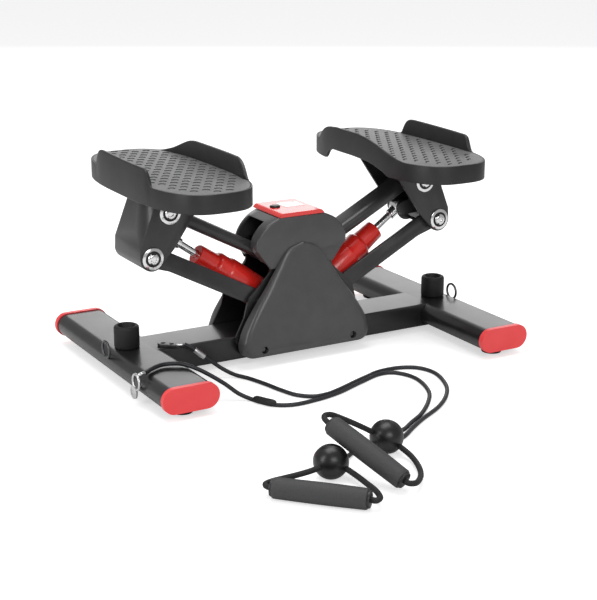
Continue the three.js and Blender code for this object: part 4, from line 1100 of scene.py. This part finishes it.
def pedal_shell(name, side):
    tops, widths = rim(side)
    low = [skirt_low(x, y) for x, y in zip(edge_x, edge_y)]
    rings = [pedal_ring(widths, 0, 3, [ROOF_Z] * len(low))]
    for extra, rise in ((3, 0.5), (2.6, 0), (0.5, 0), (0, 0.6)):
        rings.append(pedal_ring(widths, 0, extra, [z + rise for z in low]))
    brim = ((0, 0.45), (0.06, 0.2), (0.2, 0.05), (0.35, 0), (0.65, 0), (0.8, 0.05), (0.94, 0.2), (1, 0.45))
    for share, drop in brim:
        rings.append(pedal_ring(widths, share, 0, [top - drop * width for top, width in zip(tops, widths)]))
    rings.append(pedal_ring(widths, 1, 0, [RECESS_Z] * len(low)))
    return loft(name, rings, BLACK_PLASTIC, 35)


def tread_plate(name, side):
    widths = rim(side)[1]
    steps = ((0.3, RECESS_Z + 0.3), (0.3, 243.9), (0.5, 244.3), (0.9, 244.4))
    rings = [pedal_ring(widths, 1, extra, [z] * len(widths)) for extra, z in steps]
    return loft(name, rings, TREAD, 30)


# %% [markdown]
# Staggered crescents are pressed into the tread for grip. They repeat by rule, so Geometry Nodes place them:
# a grid of points, every second row shifted by half a step, the points outside the pedal's outline deleted,
# and a small curved rib on each point that is left.

# %% Crescent pattern
# The ribs are coloured near black against the grey tread. This is painted shade, standing for the shadow each
# crescent throws.
RIB_PAINTED_SHADE = finish("tread rib painted shade", (0.012, 0.012, 0.013), (0.020, 0.020, 0.021), 0.6, (1500, 0.15))


def crescent_tree():
    tree = bpy.data.node_groups.new("Tread crescents", "GeometryNodeTree")
    for label, value in (("Step Across", 0.015), ("Step Along", 0.013), ("Rib Radius", 0.0042),
                         ("Rib Width", 0.0009), ("Half Width", 0.052), ("Half Length", 0.137)):
        socket = tree.interface.new_socket(name=label, in_out="INPUT", socket_type="NodeSocketFloat")
        socket.default_value = value
    for label in ("Columns", "Rows"):
        tree.interface.new_socket(name=label, in_out="INPUT", socket_type="NodeSocketInt")
    tree.interface.new_socket(name="Rib Painted Shade Material", in_out="INPUT", socket_type="NodeSocketMaterial")
    tree.interface.new_socket(name="Geometry", in_out="OUTPUT", socket_type="NodeSocketGeometry")
    nodes, links = tree.nodes, tree.links
    start, end = nodes.new("NodeGroupInput"), nodes.new("NodeGroupOutput")

    def math_node(operation, *values):
        node = nodes.new("ShaderNodeMath")
        node.operation = operation
        for socket, value in zip(node.inputs, values):
            if isinstance(value, (int, float)):
                socket.default_value = value
            else:
                links.new(value, socket)
        return node.outputs[0]

    index = nodes.new("GeometryNodeInputIndex").outputs[0]
    columns = start.outputs["Columns"]
    row = math_node("FLOOR", math_node("DIVIDE", index, columns))
    column = math_node("MODULO", index, columns)
    shift = math_node("MULTIPLY", math_node("MODULO", row, 2), 0.5)
    middle_column = math_node("MULTIPLY", math_node("SUBTRACT", columns, 0.5), 0.5)
    middle_row = math_node("MULTIPLY", math_node("SUBTRACT", start.outputs["Rows"], 1), 0.5)
    across = math_node("MULTIPLY", math_node("SUBTRACT", math_node("ADD", column, shift), middle_column),
                       start.outputs["Step Across"])
    along = math_node("MULTIPLY", math_node("SUBTRACT", row, middle_row), start.outputs["Step Along"])
    place = nodes.new("ShaderNodeCombineXYZ")
    links.new(across, place.inputs["X"])
    links.new(along, place.inputs["Y"])
    points = nodes.new("GeometryNodePoints")
    links.new(math_node("MULTIPLY", columns, start.outputs["Rows"]), points.inputs["Count"])
    links.new(place.outputs[0], points.inputs["Position"])
    reach = []
    for value, half in ((across, "Half Width"), (along, "Half Length")):
        share = math_node("ABSOLUTE", math_node("DIVIDE", value, start.outputs[half]))
        reach.append(math_node("POWER", share, PEDAL_POWER))
    outside = math_node("GREATER_THAN", math_node("ADD", *reach), 1)
    kept = nodes.new("GeometryNodeDeleteGeometry")
    kept.domain = "POINT"
    links.new(points.outputs[0], kept.inputs["Geometry"])
    links.new(outside, kept.inputs["Selection"])
    rib = nodes.new("GeometryNodeCurveArc")
    rib.mode = "RADIUS"
    preset(rib, {"Resolution": 7, "Start Angle": math.radians(55), "Sweep Angle": math.radians(130)})
    links.new(start.outputs["Rib Radius"], rib.inputs["Radius"])
    section = nodes.new("GeometryNodeCurvePrimitiveCircle")
    section.inputs["Resolution"].default_value = 6
    links.new(start.outputs["Rib Width"], section.inputs["Radius"])
    solid_rib = nodes.new("GeometryNodeCurveToMesh")
    solid_rib.inputs["Fill Caps"].default_value = True
    wire(
        links,
        (rib, "Curve", solid_rib, "Curve"),
        (section, "Curve", solid_rib, "Profile Curve"),
    )
    copies = nodes.new("GeometryNodeInstanceOnPoints")
    wire(
        links,
        (kept, "Geometry", copies, "Points"),
        (solid_rib, "Mesh", copies, "Instance"),
    )
    real = nodes.new("GeometryNodeRealizeInstances")
    paint = nodes.new("GeometryNodeSetMaterial")
    wire(
        links,
        (copies, "Instances", real, "Geometry"),
        (real, "Geometry", paint, "Geometry"),
        (start, "Rib Painted Shade Material", paint, "Material"),
        (paint, "Geometry", end, "Geometry"),
    )
    return tree


def crescents(name, tree, values):
    """Runs the tree on an empty mesh and keeps the result as a plain mesh."""
    obj = add_object(name, bpy.data.meshes.new(name))
    modifier = obj.modifiers.new("pattern", "NODES")
    modifier.node_group = tree
    for item in tree.interface.items_tree:
        if item.item_type == "SOCKET" and item.in_out == "INPUT" and item.name in values:
            modifier[item.identifier] = values[item.name]
    bpy.context.view_layer.update()
    graph = bpy.context.evaluated_depsgraph_get()
    made = bpy.data.meshes.new_from_object(obj.evaluated_get(graph))
    obj.modifiers.clear()
    obj.data = made
    made.polygons.foreach_set("use_smooth", [True] * len(made.polygons))
    return obj


RIGHT_SHIFT = Matrix.Translation((0.005, -0.002, 0))
TREAD_TOP = 0.2443
pattern_tree = crescent_tree()
for side in ("right", "left"):
    shell, tread = pedal_shell(f"pedal_tray_{side}", side), tread_plate(f"tread_insert_{side}", side)
    ribs = crescents(f"tread_ribs_{side}", pattern_tree, {"Columns": 8, "Rows": 22, "Rib Painted Shade Material": RIB_PAINTED_SHADE})
    ribs.data.transform(Matrix.Translation((PEDAL_X * MM, PEDAL_Y * MM, TREAD_TOP)))
    for piece, node, slot in (
        (shell, "shell", "plastic_black"), (tread, "tread", "tread_grey"), (ribs, None, "tread_grey"),
    ):
        if side == "right":
            piece.data.transform(RIGHT_SHIFT)
        else:
            flip(piece.data)
        settle(piece, f"{side}_pedal", *([f"pedal_{node}_{side}"] if node else []), slot=slot)
    print(side, "pedal has", len(ribs.data.polygons), "rib faces")

# %% [markdown]
# ## Floor and light
#
# A pale floor and a pale world give the even, nearly shadowless light of a product table. Wide soft boxes
# overhead and behind draw the highlights on the tubes, one on the left rounds off the covers, and one in
# front lifts the faces turned to the viewer.

# %% Floor, world and lights
FLOOR_GLOW, WORLD_LIGHT = 0.55, 0.42


def floor_material():
    """A pale floor that looks evenly white, yet throws little light up at the machine."""
    material = finish("studio floor", (0.80, 0.80, 0.80), (0.82, 0.82, 0.82), 0.9, (50, 0.0))
    nodes, links = material.node_tree.nodes, material.node_tree.links
    shader = nodes["Principled BSDF"]
    ray = nodes.new("ShaderNodeLightPath")
    glow = nodes.new("ShaderNodeMath")
    glow.operation = "MULTIPLY"
    glow.inputs[1].default_value = FLOOR_GLOW
    shader.inputs["Emission Color"].default_value = (1, 1, 1, 1)
    wire(
        links,
        (ray, "Is Camera Ray", glow, 0),
        (glow, 0, shader, "Emission Strength"),
    )
    return material


bpy.ops.mesh.primitive_plane_add(size=40)
floor = bpy.context.object
floor.name = "studio_floor"
floor.data.materials.append(floor_material())
world = bpy.data.worlds.new("studio")
world.use_nodes = True
backdrop = world.node_tree.nodes["Background"]
backdrop.inputs["Color"].default_value = (1, 1, 1, 1)
# The backdrop is full white to the eye and dimmer as a source of light.
seen = world.node_tree.nodes.new("ShaderNodeLightPath")
strength = world.node_tree.nodes.new("ShaderNodeMapRange")
preset(strength, {"To Min": WORLD_LIGHT, "To Max": 1.0})
wire(
    world.node_tree.links,
    (seen, "Is Camera Ray", strength, "Value"),
    (strength, "Result", backdrop, "Strength"),
)
bpy.context.scene.world = world


def soft_box(name, place, aim, size, energy):
    data = bpy.data.lights.new(name, "AREA")
    data.shape = "RECTANGLE"
    data.size, data.size_y = size
    data.energy = energy
    light = add_object(name, data)
    light.location = place
    light.rotation_euler = (Vector(aim) - Vector(place)).to_track_quat("-Z", "Y").to_euler()
    light.visible_camera = False


soft_box("overhead", (0, 0.1, 1.9), (0, 0, 0.1), (1.6, 1.2), 22)
soft_box("left", (-1.7, -0.3, 0.8), (0, 0, 0.15), (0.5, 1.0), 8)
soft_box("front", (-0.4, -2.2, 1.2), (0, 0, 0.12), (1.2, 0.8), 14)
soft_box("back", (1.5, 2.6, 1.0), (0, 0, 0.1), (2.4, 1.2), 15)
print("lit")
